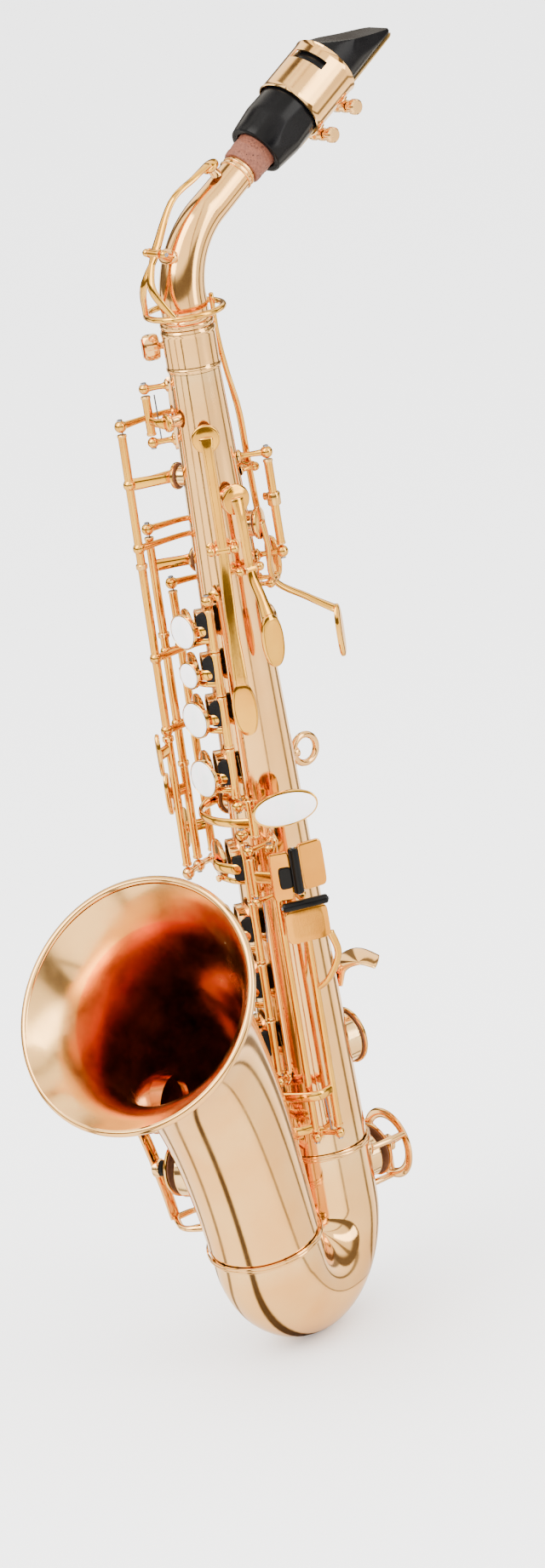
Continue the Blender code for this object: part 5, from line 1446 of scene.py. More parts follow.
def make_fittings():
    centre = ORIGIN
    side = tangent(STRAP_ANGLE)
    foot_r = body_r(STRAP_Z)
    shape = Shape().add(ring_loop(centre, side, 5.35 * MM, 1.3 * MM, 64, 18))
    shape.add(lathe(at(STRAP_ANGLE, foot_r + 0.9 * MM, STRAP_Z), radial(STRAP_ANGLE),
                    mm((0, 0), (0, 3.2), (0.5, 2.6), (1.2, 1.8), (3.2, 1.5), (4.0, 1.9), (4.3, 0)), 32))
    shape.add(rib_strip(STRAP_ANGLE, STRAP_Z - 8 * MM, STRAP_Z + 8 * MM, 15))
    piece("sling_ring", shape, "horn", ["strap_ring"])
    rest_z = 204 * MM
    profile = mm((0, 0), (0, 5.6), (0.4, 6), (2.2, 6), (3.0, 5.6), (3.3, 4.8), (2.9, 3.4), (2.6, 1.6),
                 (2.55, 0))
    rest = Shape().add(lathe(at(162, body_r(rest_z) + GAP, rest_z), radial(162), profile, 48))
    piece("thumb_seat", rest, "horn", ["thumb_rest"])
    hook_z = 62 * MM
    foot = body_r(hook_z)
    hook = Shape().add(rib_strip(STRAP_ANGLE, hook_z - 10 * MM, hook_z + 9 * MM, 15))
    path = [at(STRAP_ANGLE, foot + 1.4 * MM, hook_z - 5 * MM),
            at(STRAP_ANGLE, foot + 6 * MM, hook_z + 1 * MM),
            at(STRAP_ANGLE - 6, foot + 13 * MM, hook_z + 3.2 * MM),
            at(STRAP_ANGLE - 14, foot + 19 * MM, hook_z)]
    sizes = spread(mm((5.4, 1.0), (4.6, 1.3), (6.0, 1.2), (5.2, 1.0)))
    hook.add(tube(smooth_path(path), sizes, 24, start=tangent(STRAP_ANGLE)))
    hook.add(tube([at(STRAP_ANGLE, foot + 0.6 * MM, hook_z + 3 * MM),
                   at(STRAP_ANGLE, foot + 5.5 * MM, hook_z + 1.6 * MM)], 2.6 * MM, 24))
    heads = [(at(STRAP_ANGLE, foot + 1.5 * MM, hook_z + z), radial(STRAP_ANGLE), 1.5 * MM)
             for z in (-8 * MM, 7 * MM)]
    piece("thumb_hook_plate", hook, "horn", ["thumb_hook"],
          extra=[screws("thumb_hook_screws", heads, "lacquer")])


def make_brace():
    z = 8 * MM
    back = Vector((0, -body_r(z) - 0.1 * MM, z))
    front = Vector((0, bell_point(0.19).y + bell_r(0.19) + 0.4 * MM, z))
    length = (front - back).length
    profile = [(0, 0), (0, 4.6 * MM), (0.5 * MM, 4.8 * MM), (1.2 * MM, 2.6 * MM), (2.2 * MM, 2.0 * MM),
               (length / 2 - 0.8 * MM, 1.8 * MM), (length / 2, 2.8 * MM), (length / 2 + 0.8 * MM, 1.8 * MM),
               (length - 2.2 * MM, 2.0 * MM), (length - 1.2 * MM, 2.6 * MM), (length - 0.5 * MM, 4.8 * MM),
               (length, 4.6 * MM), (length, 0)]
    piece("bell_stay", Shape().add(lathe(back, front - back, profile, 40)), "horn", ["bell_brace"])


def make_bell_guard():
    """Guard over the two bell keys: a formed rail on two forked feet, with a felt bumper over each cup."""
    rail = []
    for t in (0.04, 0.14, 0.28, 0.42, 0.56, 0.64):
        centre, out = bell_out(t, -88)
        rail.append(centre + out * (bell_r(t) + 15.3 * MM))
    shape = Shape().add(tube(smooth_path(rail), (2.6 * MM, 0.9 * MM), 20, start=UP))
    for t in (0.04, 0.64):
        for sign in (-1, 1):
            centre, out = bell_out(t, -88 + sign * 12)
            middle, straight = bell_out(t, -88)
            foot = centre + out * (bell_r(t) + 0.2 * MM)
            bend = centre + out * (bell_r(t) + 9 * MM)
            shape.add(tube(smooth_path([foot, bend, middle + straight * (bell_r(t) + 15.3 * MM)]),
                           spread(mm((1.7, 1.2), (1.1, 1.1), (1.3, 1.1))), 16))
            shape.add(lathe(foot - out * 0.4 * MM, out, mm((0, 0), (0, 3.2), (0.7, 3.1), (1.3, 1.6),
                                                           (1.3, 0)), 32))
    for t, angle, *_ in LOW_KEYS.values():
        centre, out = bell_out(t, angle)
        base = centre + out * (bell_r(t) + 13.4 * MM)
        shape.add(lathe(base, out, mm((0, 0), (0, 3.3), (0.8, 3.6), (2.4, 3.6), (2.7, 3.2), (2.7, 0)), 36))
        shape.add(lathe(base - out * 1.6 * MM, out, mm((0, 0), (0, 2.7), (0.3, 3.0), (1.7, 3.0), (1.7, 0)),
                        32), "felt")
    piece("bell_guard_rail", shape, "horn", ["bell_key_guard"])


def make_low_c_guard():
    angle, z, radius, lift = LOW_C
    out, side = radial(angle), tangent(angle)
    centre = at(angle, BOW_R[0] + CHIMNEY_RISE + lift + 8.4 * MM, z)
    guard_r = radius + 2.6 * MM
    turns = 96
    profile = []
    for k in range(20):
        a = 2 * math.pi * k / 20
        profile.append((0.9 * MM * math.sin(a), guard_r - 0.9 * MM + 2.0 * MM * math.cos(a)))
    shape = Shape().add(lathe(centre, out, profile, turns, closed=True))
    hub = mm((0, 0), (0, 3.0), (0.4, 3.3), (2.0, 3.3), (2.3, 2.9), (2.3, 0))
    shape.add(lathe(centre - out * 1.1 * MM, out, hub, 36))
    shape.add(lathe(centre - out * 2.4 * MM, out, mm((0, 0), (0, 2.4), (0.3, 2.6), (1.4, 2.6), (1.4, 0)),
                    32), "felt")
    for turn in (30, 150, 270):
        a = math.radians(turn)
        rim = centre + (side * math.cos(a) + UP * math.sin(a)) * guard_r
        spoke = (rim - centre).normalized()
        shape.add(tube([rim - spoke * 0.6 * MM, centre + spoke * 2.4 * MM], (1.5 * MM, 0.7 * MM), 14,
                       start=out.cross(spoke)))
        aside = guard_r * math.cos(a)
        reach = math.sqrt((BOW_R[0] + 0.3 * MM) ** 2 - aside ** 2)
        foot = out * reach + side * aside + Vector((0, 0, rim.z))
        shape.add(tube([rim, foot], [(1.2 * MM, 1.2 * MM), (1.3 * MM, 1.3 * MM)], 14))
        way = Vector((foot.x, foot.y, 0)).normalized()
        shape.add(lathe(foot - way * 0.4 * MM, way, mm((0, 0), (0, 2.7), (0.7, 2.5), (1.2, 1.5), (1.2, 0)),
                        28))
    piece("low_c_guard_ring", shape, "horn", ["low_c_guard"])


# ---------------------------------------------------------------- stacks

def make_stack(table, prefix, low, high):
    """Keys of one stack on their common hinge line, and the rib with its posts."""
    def hinge_d(z):
        return body_r(z) + 6.4 * MM
    a, b = at(STACK_HINGE, hinge_d(low), low), at(STACK_HINGE, hinge_d(high), high)
    direction = (b - a).normalized()
    edges = sorted([z for z, _, _ in table.values()], reverse=True)
    bounds = [high - 3.0 * MM] + [(p + q) / 2 for p, q in zip(edges, edges[1:])] + [low + 3.0 * MM]
    post_row(prefix + "_stack_row", prefix + "_stack_posts", STACK_HINGE, low - 4 * MM, high + 4 * MM,
             [a, b])
    for i, (name, (z, cup_r, pearl_r)) in enumerate(table.items()):
        upper = a + direction * ((bounds[i] - 0.2 * MM - low) / direction.z)
        lower = a + direction * ((bounds[i + 1] + 0.2 * MM - low) / direction.z)
        top = cup_top(z)
        pearl_d = max(top + 2.6 * MM, hinge_d(z) + 1 * MM)
        reach = (at(STACK_CUP, top, z) - at(STACK_HINGE, hinge_d(z), z)).length
        about = (lower, upper, OPEN_LIFT / reach)
        path = [at(STACK_HINGE, hinge_d(z), z), at(-10, (hinge_d(z) + pearl_d) / 2 + 0.6 * MM, z),
                at(STACK_PEARL, pearl_d, z), at(-40, (pearl_d + top) / 2 + 0.6 * MM, z),
                at(STACK_CUP, top + 0.1 * MM, z)]
        shape = Shape()
        hinge(shape, lower, upper)
        shape.add(arm(path, 3.8 * MM, 1.8 * MM, ends=(1.2, 1.5)), "key")
        cup(shape, at(STACK_CUP, top - 2.4 * MM, z), radial(STACK_CUP), cup_r)
        foot_z = z + (2 if pearl_r else 0) * MM
        shape.add(plate(at(-5, hinge_d(z) - 2.2 * MM, foot_z), radial(-5), UP, FELT_HALF[0], FELT_HALF[1],
                        3.6 * MM, 4.5, 0.4 * MM), "felt")
        if pearl_r:
            base = pearl_d + 0.4 * MM
            holder(shape, at(STACK_PEARL, base, z), radial(STACK_PEARL), pearl_r + 0.5 * MM)
            pearl_touch(name + "_pearl_disc", name + "_key", [name + "_pearl"],
                        at(STACK_PEARL, base + 1.55 * MM + GAP / 2, z), radial(STACK_PEARL),
                        pearl_r - 0.1 * MM, about)
        tab_z = z - cup_r * 0.62
        shape.add(arm([at(STACK_HINGE, hinge_d(tab_z), tab_z), at(-14, hinge_d(tab_z) + 0.4 * MM, tab_z),
                       at(-34, top + 1.0 * MM, tab_z)], 2.2 * MM, 1.3 * MM, ends=(1.2, 1.2)), "key")
        shape.add(lathe(at(-34, top - 0.4 * MM, tab_z), radial(-34),
                        mm((0, 0), (0, 0.9), (2.6, 0.9), (2.6, 1.3), (3.4, 1.3), (3.4, 0)), 20), "key")
        shape.turn(*about)
        piece(name + "_key_lever", shape, name + "_key", [name + "_key"])


# ---------------------------------------------------------------- side and palm keys

def side_line(hinge_angle, distance, top):
    low = at(hinge_angle, distance + (top - SIDE_POST_Z) * SIDE_SPREAD, SIDE_POST_Z)
    return low, at(hinge_angle, distance, top)


def make_side_keys():
    shape = Shape().add(rib_strip(SIDE_RIB, SIDE_POST_Z - 8 * MM, 292 * MM))
    lines, heads, needles = [], [], []
    for name, (cup_angle, z, cup_r, hinge_angle, distance, top, touch_z) in SIDE_KEYS.items():
        low, high = side_line(hinge_angle, distance, top)
        direction = (high - low).normalized()
        lines.append(smooth_path([at(SIDE_RIB, body_r(top) + RIB_H, top),
                                  at(SIDE_RIB + 12, body_r(top) + 5 * MM, top),
                                  at((hinge_angle + SIDE_RIB) / 2 + 6, body_r(top) + 11 * MM, top), high]))
        heads += [(high + direction * 2.1 * MM, direction, 1.0 * MM),
                  (low - direction * 2.1 * MM, -direction, 1.0 * MM)]
        needles.append([high - direction * 2 * MM + radial(SIDE_RIB) * 2.2 * MM,
                        high - direction * 30 * MM + radial(SIDE_RIB) * 3 * MM])
        for guide_z in SIDE_GUIDES:
            if guide_z < top - 14 * MM:
                spot = low + direction * ((guide_z - low.z) / direction.z)
                lines.append(smooth_path([at(SIDE_RIB, body_r(guide_z) + RIB_H, guide_z),
                                          at((hinge_angle + SIDE_RIB) / 2, body_r(guide_z) + 8 * MM,
                                             guide_z), spot]))
        shape.add(ball(low, 2.35 * MM))
        start, end = low + direction * 3.0 * MM, high - direction * 3.0 * MM
        here = low + direction * ((z - low.z) / direction.z)
        over = cup_top(z)
        lever = Shape()
        hinge(lever, start, end)
        cup(lever, at(cup_angle, over - 2.4 * MM, z), radial(cup_angle), cup_r)
        lever.add(arm([here, at((cup_angle + hinge_angle) / 2, max(over + 3 * MM, 17 * MM), z),
                       at(cup_angle, over, z)], 3.8 * MM, 1.8 * MM, ends=(1.2, 1.4)), "key")
        touch = low + direction * ((touch_z - low.z) / direction.z)
        turn = hinge_angle + PADDLE_TURN
        paddle_at = at(turn, PADDLE_D, touch.z)
        lever.add(plate(paddle_at, radial(turn), UP, 8.1 * MM, 3.7 * MM, 1.6 * MM, 2.3, 0.55 * MM,
                        0.3 * MM), "key")
        lever.add(arm([touch, paddle_at + radial(turn) * 0.8 * MM], 4.6 * MM, 1.9 * MM), "key")
        for share in (0.3, 0.7):
            spot = start + (end - start) * share
            lever.add(lathe(spot - direction * MM, direction,
                            mm((0, 0), (0, 1.9), (0.3, 2.15), (1.7, 2.15), (2.0, 1.9), (2.0, 0)), 24),
                      "key")
        piece(name + "_lever", lever, name + "_key", [name + "_key"])
    lows = [side_line(v[3], v[4], v[5])[0] for v in SIDE_KEYS.values()]
    foot = at(SIDE_RIB, body_r(SIDE_POST_Z) + RIB_H, SIDE_POST_Z)
    shape.add(tube(smooth_path([foot, at(-125, 23 * MM, SIDE_POST_Z)] + lows[::-1]), 1.25 * MM, 16))
    piece("side_key_rib", shape, "horn", ["side_key_posts"],
          extra=[posts("side_key_stems", lines), screws("side_key_screws", heads),
                 wires("side_key_springs", needles, NEEDLE_R, "steel")])


def make_palm_keys():
    for name, (cup_angle, z, cup_r, hinge_z, touch_angle, touch_z, touch_d) in PALM_KEYS.items():
        hinge_angle = cup_angle + (touch_angle - cup_angle) * 0.35
        hinge_d = body_r(hinge_z) + SADDLE_RISE
        middle = at(hinge_angle, hinge_d, hinge_z)
        across = tangent(hinge_angle)
        half = across * 2.6 * MM
        over = cup_top(z)
        path = [at(cup_angle, over, z + 1 * MM), at(cup_angle, over + 0.9 * MM, z - cup_r - 3 * MM),
                middle + radial(hinge_angle) * 0.3 * MM,
                at(touch_angle, (hinge_d + touch_d) / 2 + 0.2 * MM, (hinge_z + touch_z) / 2 + 3 * MM),
                at(touch_angle, touch_d - 0.5 * MM, touch_z + 8 * MM)]
        shape = Shape()
        hinge(shape, middle - half, middle + half, 1.7 * MM)
        shape.add(arm(path, 3.2 * MM, 1.9 * MM, along=across, ends=(1.6, 1.7)), "key")
        cup(shape, at(cup_angle, over - 2.4 * MM, z), radial(cup_angle), cup_r)
        shape.add(plate(at(touch_angle, touch_d - 1.2 * MM, touch_z), radial(touch_angle), UP, 10 * MM,
                        4.6 * MM, 1.7 * MM, 2.2, 0.6 * MM, 0.35 * MM), "key")
        piece(name + "_lever", shape, name + "_key", [name + "_key"])


# ---------------------------------------------------------------- left-hand table and low keys

def touch_plate(shape, angle_a, angle_b, z_low, z_high, distance=TABLE_D):
    """Flat touch with rounded corners that faces outward between two angles round the body."""
    middle = (angle_a + angle_b) / 2
    half = distance * math.tan(math.radians(angle_b - angle_a) / 2)
    shape.add(plate(at(middle, distance, (z_low + z_high) / 2), radial(middle), UP, (z_high - z_low) / 2,
                    half, 1.6 * MM, 7.0, 0.5 * MM, 0.0, 96), "touch")


def roller(shape, a, b, radius):
    """Turned roller on its steel pin."""
    a, b = Vector(a), Vector(b)
    length = (b - a).length
    r = radius
    profile = [(0, 0), (0, r * 0.75), (0.35 * MM, r * 0.95), (0.9 * MM, r), (length - 0.9 * MM, r),
               (length - 0.35 * MM, r * 0.95), (length, r * 0.75), (length, 0)]
    shape.add(lathe(a, b - a, profile, 32), "roller")
    way = (b - a).normalized()
    for end, sign in ((a, -1), (b, 1)):
        shape.add(lathe(end, way * sign, [(-0.2 * MM, 0), (-0.2 * MM, r * 0.4), (0.5 * MM, r * 0.4),
                                          (0.5 * MM, 0)], 16), "steel")


def make_gs_key():
    hinge_angle, z = 20, 137 * MM
    low, high = at(hinge_angle, 25 * MM, 131.5 * MM), at(hinge_angle, 24.6 * MM, 146 * MM)
    cup_angle, cup_z, cup_r = GS_CUP
    over = cup_top(cup_z)
    path = [at(hinge_angle, 25 * MM, z)] + [at(a, 24.4 * MM, z) for a in (0, -20, -42)]
    path += [at(-64, 23.4 * MM, z), at(-86, over + 2.5 * MM, z), at(cup_angle, over, z)]
    shape = Shape()
    hinge(shape, low, high)
    shape.add(arm(path, 3.2 * MM, 1.9 * MM, ends=(1.2, 1.5)), "key")
    cup(shape, at(cup_angle, over - 2.4 * MM, cup_z), radial(cup_angle), cup_r)
    shape.add(plate(at(47, 26.8 * MM, 141.5 * MM), radial(47), tangent(47), 12.5 * MM, 6.6 * MM, 1.9 * MM,
                    2.15, 0.5 * MM, 0, 72), "key")
    shape.add(arm([at(hinge_angle, 25 * MM, 141 * MM), at(36, 27.2 * MM, 141 * MM)], 4 * MM, 1.9 * MM),
              "key")
    piece("gs_lever", shape, "gs_key", ["gs_key"])
    pearl = Shape().add(plate(at(47, 28.4 * MM, 141.5 * MM), radial(47), tangent(47), 11.7 * MM, 5.8 * MM,
                              1.0 * MM, 2.1, 0.5 * MM, 0.5 * MM, 72), "pearl")
    piece("gs_pearl_oval", pearl, "gs_key", ["gs_pearl"])


def make_bell_keys():
    ends = []
    plates = {"low_b": (50, 70, 110 * MM, 128 * MM), "low_bb": (34, 66, 90 * MM, 103 * MM)}
    tops = {"low_b": 126 * MM, "low_bb": 106 * MM}
    for name, (t, angle, radius, cross_z) in LOW_KEYS.items():
        hinge_angle, hinge_d = LEVERS[name]
        low, high = at(hinge_angle, hinge_d, TABLE_FOOT_Z), at(hinge_angle, hinge_d, tops[name])
        ends += [low, high]
        start, end = low + UP * 2.6 * MM, high - UP * 2.6 * MM
        centre, out = bell_out(t, angle)
        foot = centre + out * (bell_r(t) + CHIMNEY_RISE + GAP)
        over = foot + out * 2.5 * MM
        gap_y = -body_r(cross_z) - 9.5 * MM
        path = [at(hinge_angle, hinge_d, cross_z)]
        if name == "low_bb":
            path.append(Vector((16.5 * MM, -22.5 * MM, cross_z)))
        path += [Vector((5 * MM, gap_y, cross_z)), Vector((-12 * MM, gap_y, cross_z)),
                 Vector((-26 * MM, gap_y - 2.5 * MM, cross_z + MM)),
                 (over + Vector((-30 * MM, gap_y, cross_z))) / 2 + Vector((-2.5 * MM, 0, 0)), over]
        shape = Shape()
        hinge(shape, start, end)
        shape.add(arm(path, 3.5 * MM, 2.3 * MM, ends=(1.2, 2.2)), "key")
        cup(shape, foot, out, radius)
        angle_a, angle_b, z_low, z_high = plates[name]
        touch_plate(shape, angle_a, angle_b, z_low, z_high)
        plate_z = (z_low + z_high) / 2
        shape.add(arm([at(hinge_angle, hinge_d, plate_z), at((angle_a + angle_b) / 2, TABLE_D + 0.6 * MM,
                                                             plate_z)], 5 * MM, 2.1 * MM), "key")
        if name == "low_b":
            roller(shape, at(47.6, TABLE_D + 1.6 * MM, 109.6 * MM), at(47.6, TABLE_D + 1.6 * MM, 127 * MM),
                   2.0 * MM)
        else:
            middle = radial(50) * (TABLE_D + 1.9 * MM) + UP * 104.9 * MM
            roller(shape, middle - tangent(50) * 8.6 * MM, middle + tangent(50) * 8.6 * MM, 1.75 * MM)
            shape.add(arm([at(66, TABLE_D + 1.0 * MM, 91.5 * MM), at(70, 29.4 * MM, 82 * MM),
                           at(62, 27 * MM, 73 * MM), at(53, 23.6 * MM, 69 * MM)], 3.0 * MM, 1.8 * MM),
                      "key")
        reach = (foot - at(hinge_angle, hinge_d, foot.z)).dot(Vector((0, -1, 0)))
        shape.turn(start, end, -BELL_KEY_LIFT / reach)
        piece(name + "_lever", shape, name + "_key", [name + "_key"])
    return ends


def make_cs_lever():
    angle, distance = 12, 24.5 * MM
    low, high = at(angle, distance, 106 * MM), at(angle, distance, 126 * MM)
    shape = Shape()
    hinge(shape, low + UP * 2.6 * MM, high - UP * 2.6 * MM)
    touch_plate(shape, 28, 43.4, 107.2 * MM, 126 * MM)
    shape.add(plate(at(38.4, TABLE_D + 1.3 * MM, 116 * MM), radial(38.4), UP, 4.2 * MM, 2.4 * MM, 1.0 * MM,
                    5, 0.4 * MM), "roller")
    shape.add(arm([at(angle, distance, 116 * MM), at(34, TABLE_D + 0.6 * MM, 116 * MM)], 5 * MM, 2.1 * MM),
              "key")
    piece("low_cs_touch", shape, "low_cs_lever", ["low_cs_lever"])
    return [low, high]


def make_right_low_keys():
    angle, distance = -108, 25 * MM
    ends = [at(angle, distance, z) for z in (50 * MM, 28 * MM, 6.5 * MM)]
    start, end = ends[0] - UP * 2.7 * MM, ends[1] + UP * 2.7 * MM
    cup_angle, cup_z, cup_r = LOW_EB_CUP
    over = cup_top(cup_z)
    back = [at(angle, distance, cup_z)] + [at(a, 25.5 * MM, cup_z) for a in (-130, -155, -178)]
    back += [at(-192, over + 1.5 * MM, cup_z), at(-202, over, cup_z)]
    shape = Shape()
    hinge(shape, end, start)
    shape.add(arm(back, 3.2 * MM, 2.1 * MM, ends=(1.2, 2.0)), "key")
    cup(shape, at(cup_angle, over - 2.4 * MM, cup_z), radial(cup_angle), cup_r)
    touch_plate(shape, -78, -52, 34 * MM, 46 * MM, 29 * MM)
    shape.add(arm([at(angle, distance, 40 * MM), at(-88, 29 * MM, 40 * MM), at(-70, 29.6 * MM, 40 * MM)],
                  5 * MM, 2.1 * MM), "key")
    middle = radial(-65) * (29 * MM + 1.6 * MM) + UP * 33 * MM
    roller(shape, middle - tangent(-65) * 5.6 * MM, middle + tangent(-65) * 5.6 * MM, 1.5 * MM)
    piece("low_eb_lever", shape, "low_eb_key", ["low_eb_key"])
    start, end = ends[1] - UP * 2.7 * MM, ends[2] + UP * 2.7 * MM
    low_c = Shape()
    hinge(low_c, end, start)
    touch_plate(low_c, -78, -52, 15 * MM, 27 * MM, 29 * MM)
    low_c.add(arm([at(angle, distance, 21 * MM), at(-88, 29 * MM, 21 * MM), at(-70, 29.6 * MM, 21 * MM)],
                  5 * MM, 2.1 * MM), "key")
    low_c.add(arm([at(angle, distance, 12 * MM), at(-122, 27.4 * MM, 4 * MM), at(-134, 28.8 * MM, -8 * MM)],
                  3 * MM, 2.1 * MM), "key")
    middle = radial(-65) * (29 * MM + 1.6 * MM) + UP * 28.9 * MM
    roller(low_c, middle - tangent(-65) * 5.6 * MM, middle + tangent(-65) * 5.6 * MM, 1.5 * MM)
    piece("low_c_touch", low_c, "low_c_lever", ["low_c_lever"])
    return ends


def make_low_c():
    angle, z, radius, lift = LOW_C
    hinge_angle, hinge_d = LOW_C_HINGE
    low, high = (at(hinge_angle, hinge_d, h) for h in LOW_C_POSTS)
    start, end = low + UP * 2.7 * MM, high - UP * 2.7 * MM
    base = BOW_R[0] + CHIMNEY_RISE + GAP
    over = base + 2.4 * MM
    shape = Shape()
    hinge(shape, start, end)
    cup(shape, at(angle, base, z), radial(angle), radius)
    shape.add(arm([at(hinge_angle, hinge_d, z), at(-162, over + 0.5 * MM, z), at(-180, over + 1.5 * MM, z),
                   at(-202, over, z)], 3.8 * MM, 2.1 * MM, ends=(1.2, 2.0)), "key")
    shape.turn(start, end, lift / (at(angle, base, z) - at(hinge_angle, hinge_d, z)).length)
    piece("low_c_cup", shape, "low_c_key", ["low_c_key"])


# ---------------------------------------------------------------- octave mechanism

def make_octave_parts():
    angle, z, half_width = OCTAVE_LEVER
    middle = at(angle, body_r(z) + SADDLE_RISE, z)
    half = tangent(angle) * half_width
    path = [at(angle, 19.5 * MM, 226 * MM), at(angle, 16.5 * MM, 240 * MM), middle,
            at(angle, 15.0 * MM, 282 * MM), at(angle, 12.6 * MM, 299 * MM), at(angle, 11.4 * MM, 312 * MM),
            at(angle, 11.4 * MM, 327.3 * MM)]
    sizes = [(1.9 * MM, 1.0 * MM)] * 4 + [(1.2 * MM, 1.0 * MM)] + [(0.9 * MM, 0.9 * MM)] * 2
    lever = Shape().add(tube(smooth_path(path), spread(sizes), 16, start=tangent(angle)), "key")
    lever.add(plate(at(angle, 18.6 * MM, 226 * MM), radial(angle), UP, 8 * MM, 5 * MM, 1.7 * MM, 2.2,
                    0.6 * MM, 0.3 * MM), "key")
    hinge(lever, middle - half, middle + half, 1.7 * MM)
    piece("octave_thumb_lever", lever, "thumb_octave_lever", ["thumb_octave_lever"])
    rod_angle, distance, (low_z, high_z) = OCTAVE_ROD
    start, end = at(rod_angle, distance, low_z + 2.7 * MM), at(rod_angle, distance, high_z - 2.7 * MM)
    rocker = Shape()
    hinge(rocker, start, end)
    arm_z = 250 * MM
    rocker.add(arm([at(rod_angle, distance, arm_z), at(rod_angle + 9, 19.6 * MM, arm_z),
                    at(rod_angle + 17, 17.8 * MM, arm_z)], 3 * MM, 1.7 * MM), "key")
    rocker.add(lathe(at(rod_angle, distance, arm_z - 2.4 * MM), UP,
                     mm((0, 0), (0, 2.2), (0.4, 2.5), (4.4, 2.5), (4.8, 2.2), (4.8, 0)), 28), "key")
    piece("octave_rocker_rod", rocker, "octave_rocker", ["octave_rocker"])
    angle, z, radius = OCTAVE_CUP
    hinge_angle, distance = -62, 19 * MM
    low, high = at(hinge_angle, distance, 277 * MM), at(hinge_angle, distance, 297 * MM)
    start, end = low + UP * 2.7 * MM, high - UP * 2.7 * MM
    over = cup_top(z)
    vent = Shape()
    hinge(vent, start, end)
    cup(vent, at(angle, over - 2.4 * MM, z), radial(angle), radius)
    vent.add(arm([at(hinge_angle, distance, z), at(-46, over + 1.8 * MM, z), at(angle, over, z)], 3 * MM,
                 1.8 * MM, ends=(1.2, 1.5)), "key")
    piece("upper_vent_lever", vent, "body_octave_key", ["body_octave_key"])
    post_row("octave_row", "octave_posts", hinge_angle - 6, 273 * MM, 300 * MM, [low, high], 2.05 * MM)


# ---------------------------------------------------------------- camera and light

def row(angle_from_front, height, distance):
    """Point round the horn's middle: angle from the bell side, height angle and distance."""
    a, e = math.radians(angle_from_front), math.radians(height)
    return VIEW_CENTRE + Vector((math.sin(a) * math.cos(e), -math.cos(a) * math.cos(e),
                                 math.sin(e))) * distance


def make_camera():
    """Long lens from the front left, rolled so that the horn leans as it hangs."""
    lens = bpy.data.cameras.new("view")
    lens.sensor_width = SENSOR
    lens.lens = SENSOR * VIEW_DISTANCE / VIEW_HEIGHT
    lens.clip_start = 0.05
    eye = row(*VIEW_ANGLE, VIEW_DISTANCE)
    back = (eye - VIEW_CENTRE).normalized()
    right = UP.cross(back).normalized()
    up = back.cross(right)
    c, s = math.cos(VIEW_ROLL), math.sin(VIEW_ROLL)
    across = right * c + up * s
    above = up * c - right * s
    view = bpy.data.objects.new("view", lens)
    view.matrix_world = Matrix((across, above, back)).transposed().to_4x4()
    view.location = eye
    bpy.context.collection.objects.link(view)
    bpy.context.scene.camera = view


def banded(net, x, y):
    """1 all round, falling towards 0 in the dark bands; the direction is given by its x and y."""
    turn = net.math("ARCTAN2", x, net.math("MULTIPLY", y, -1.0))
    light = None
    for middle, half, depth in DARK_BANDS:
        gap = net.math("ABSOLUTE", net.math("SUBTRACT", turn, math.radians(middle)), 0.0)
        band = ranged(net, gap, math.radians(half * 0.75), math.radians(half * 1.25), 1.0 - depth, 1.0)
        light = band if light is None else net.math("MINIMUM", light, band)
    return light


def make_floor():
    low = cad_box[0][2] - 0.5 * MM
    half = FLOOR_HALF
    mesh = bpy.data.meshes.new("floor")
    mesh.from_pydata([(-half, -half, low), (half, -half, low), (half, half, low), (-half, half, low)], [],
                     [(0, 1, 2, 3)])
    material, net, shader = start_finish("pale_floor")
    where = net.node("ShaderNodeTexCoord").outputs["Object"]
    pale = mixed(net, noise(net, where, 3.0), rgb(0.97, 0.97, 0.97), rgb(0.95, 0.95, 0.95))
    parts = net.node("ShaderNodeSeparateXYZ", Vector=where)
    mirrored = mixed(net, banded(net, parts.outputs[0], parts.outputs[1]), rgb(0.012, 0.004, 0.001),
                     rgb(0.68, 0.63, 0.55))
    seen = net.node("ShaderNodeLightPath").outputs["Is Glossy Ray"]
    net.feed(shader, "Base Color", mixed(net, seen, pale, mirrored))
    shader.inputs["Roughness"].default_value = 0.9
    mesh.materials.append(material)
    floor = bpy.data.objects.new("floor", mesh)
    bpy.context.collection.objects.link(floor)


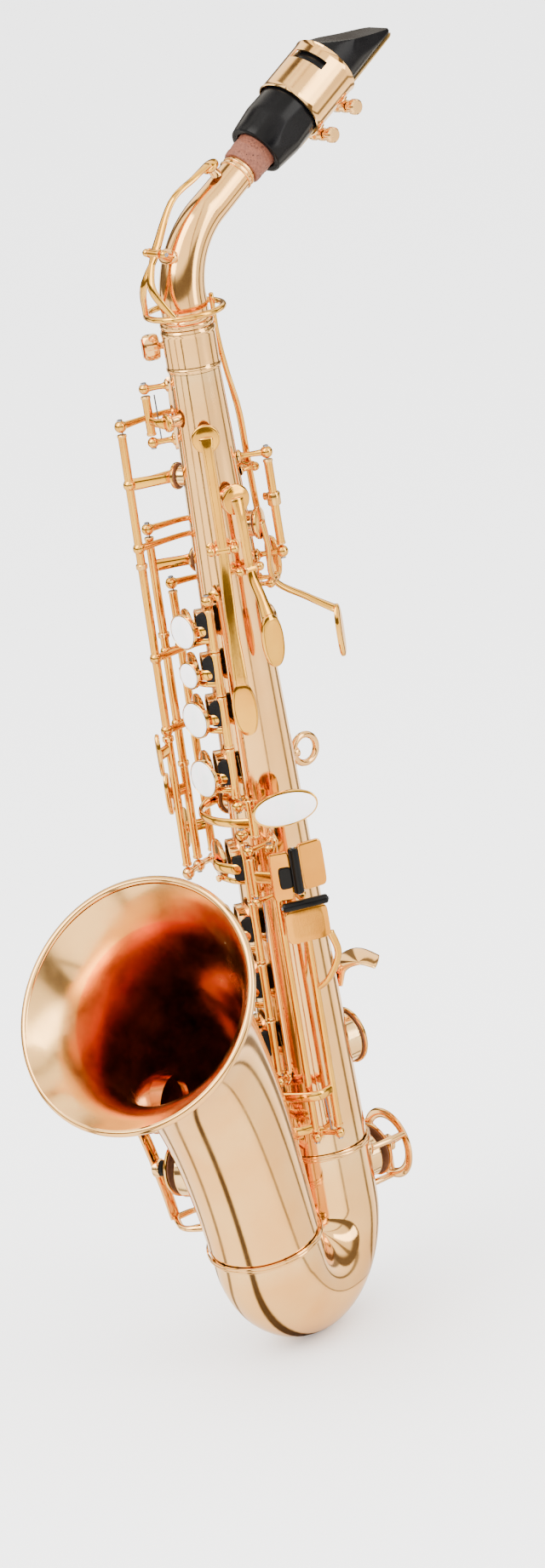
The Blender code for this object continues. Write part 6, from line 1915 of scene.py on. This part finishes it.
def make_world():
    """White studio: bright all round, with a few dark upright bands that only gloss picks up."""
    world = bpy.data.worlds.new("studio")
    world.use_nodes = True
    bpy.context.scene.world = world
    tree = world.node_tree
    net = Net(tree, False)
    back = tree.nodes["Background"]
    way = net.node("ShaderNodeTexCoord").outputs["Generated"]
    parts = net.node("ShaderNodeSeparateXYZ", Vector=way)
    light = banded(net, parts.outputs[0], parts.outputs[1])
    height = ranged(net, parts.outputs[2], -0.25, 0.75, 0.85, 1.15)
    horizon = ranged(net, parts.outputs[2], 0.22, 0.36, 0.08, 1.0)
    glow = net.math("MULTIPLY", net.math("MINIMUM", light, horizon), height)
    seen = net.node("ShaderNodeLightPath").outputs["Is Glossy Ray"]
    colour = mixed(net, glow, rgb(0.012, 0.004, 0.001), rgb(0.76, 0.71, 0.62))
    net.feed(back, "Color", mixed(net, seen, rgb(1.0, 1.0, 1.0), colour))
    back.inputs["Strength"].default_value = 3.6


def softbox(name, place, size, power):
    lamp = bpy.data.lights.new(name, "AREA")
    lamp.shape = "RECTANGLE"
    lamp.size, lamp.size_y = size
    lamp.energy = power
    lamp.color = (1.0, 0.98, 0.95)
    light = bpy.data.objects.new(name, lamp)
    light.location = place
    light.rotation_euler = (VIEW_CENTRE - Vector(place)).to_track_quat("-Z", "Y").to_euler()
    bpy.context.collection.objects.link(light)


GROUPS = {"tone": tone_group(), "marks": handling_group(), "edge": edge_group()}
FINISHES = make_finishes()
TREES = {"wall": horn_wall_tree(), "posts": turned_posts_tree(), "screws": slotted_screws_tree(),
         "chimneys": chimney_tree(), "ribs": knob_ribs_tree(), "wire": wire_tree()}


def main():
    make_camera()
    make_world()
    make_floor()
    softbox("key_light", row(-20, 50, 1.6), (0.9, 1.4), 30)
    softbox("side_light", row(95, 25, 1.5), (0.5, 1.6), 16)
    make_body()
    make_bow()
    make_bell()
    make_joint_rings()
    make_receiver()
    make_neck()
    make_neck_key()
    make_mouthpiece()
    make_reed()
    make_ligature()
    make_fittings()
    make_brace()
    make_bell_guard()
    make_low_c_guard()
    make_stack(UPPER_STACK, "upper", 142 * MM, 220 * MM)
    make_stack(LOWER_STACK, "lower", 34 * MM, 131 * MM)
    make_side_keys()
    make_palm_keys()
    make_gs_key()
    table_ends = make_bell_keys() + make_cs_lever()
    post_row("table_row", "table_posts", 33, 6 * MM, 131 * MM, table_ends, 2.05 * MM)
    post_row("right_low_row", "right_low_posts", -108, 3.4 * MM, 54 * MM, make_right_low_keys(), 2.05 * MM)
    make_low_c()
    make_octave_parts()


main()
bpy.context.view_layer.update()
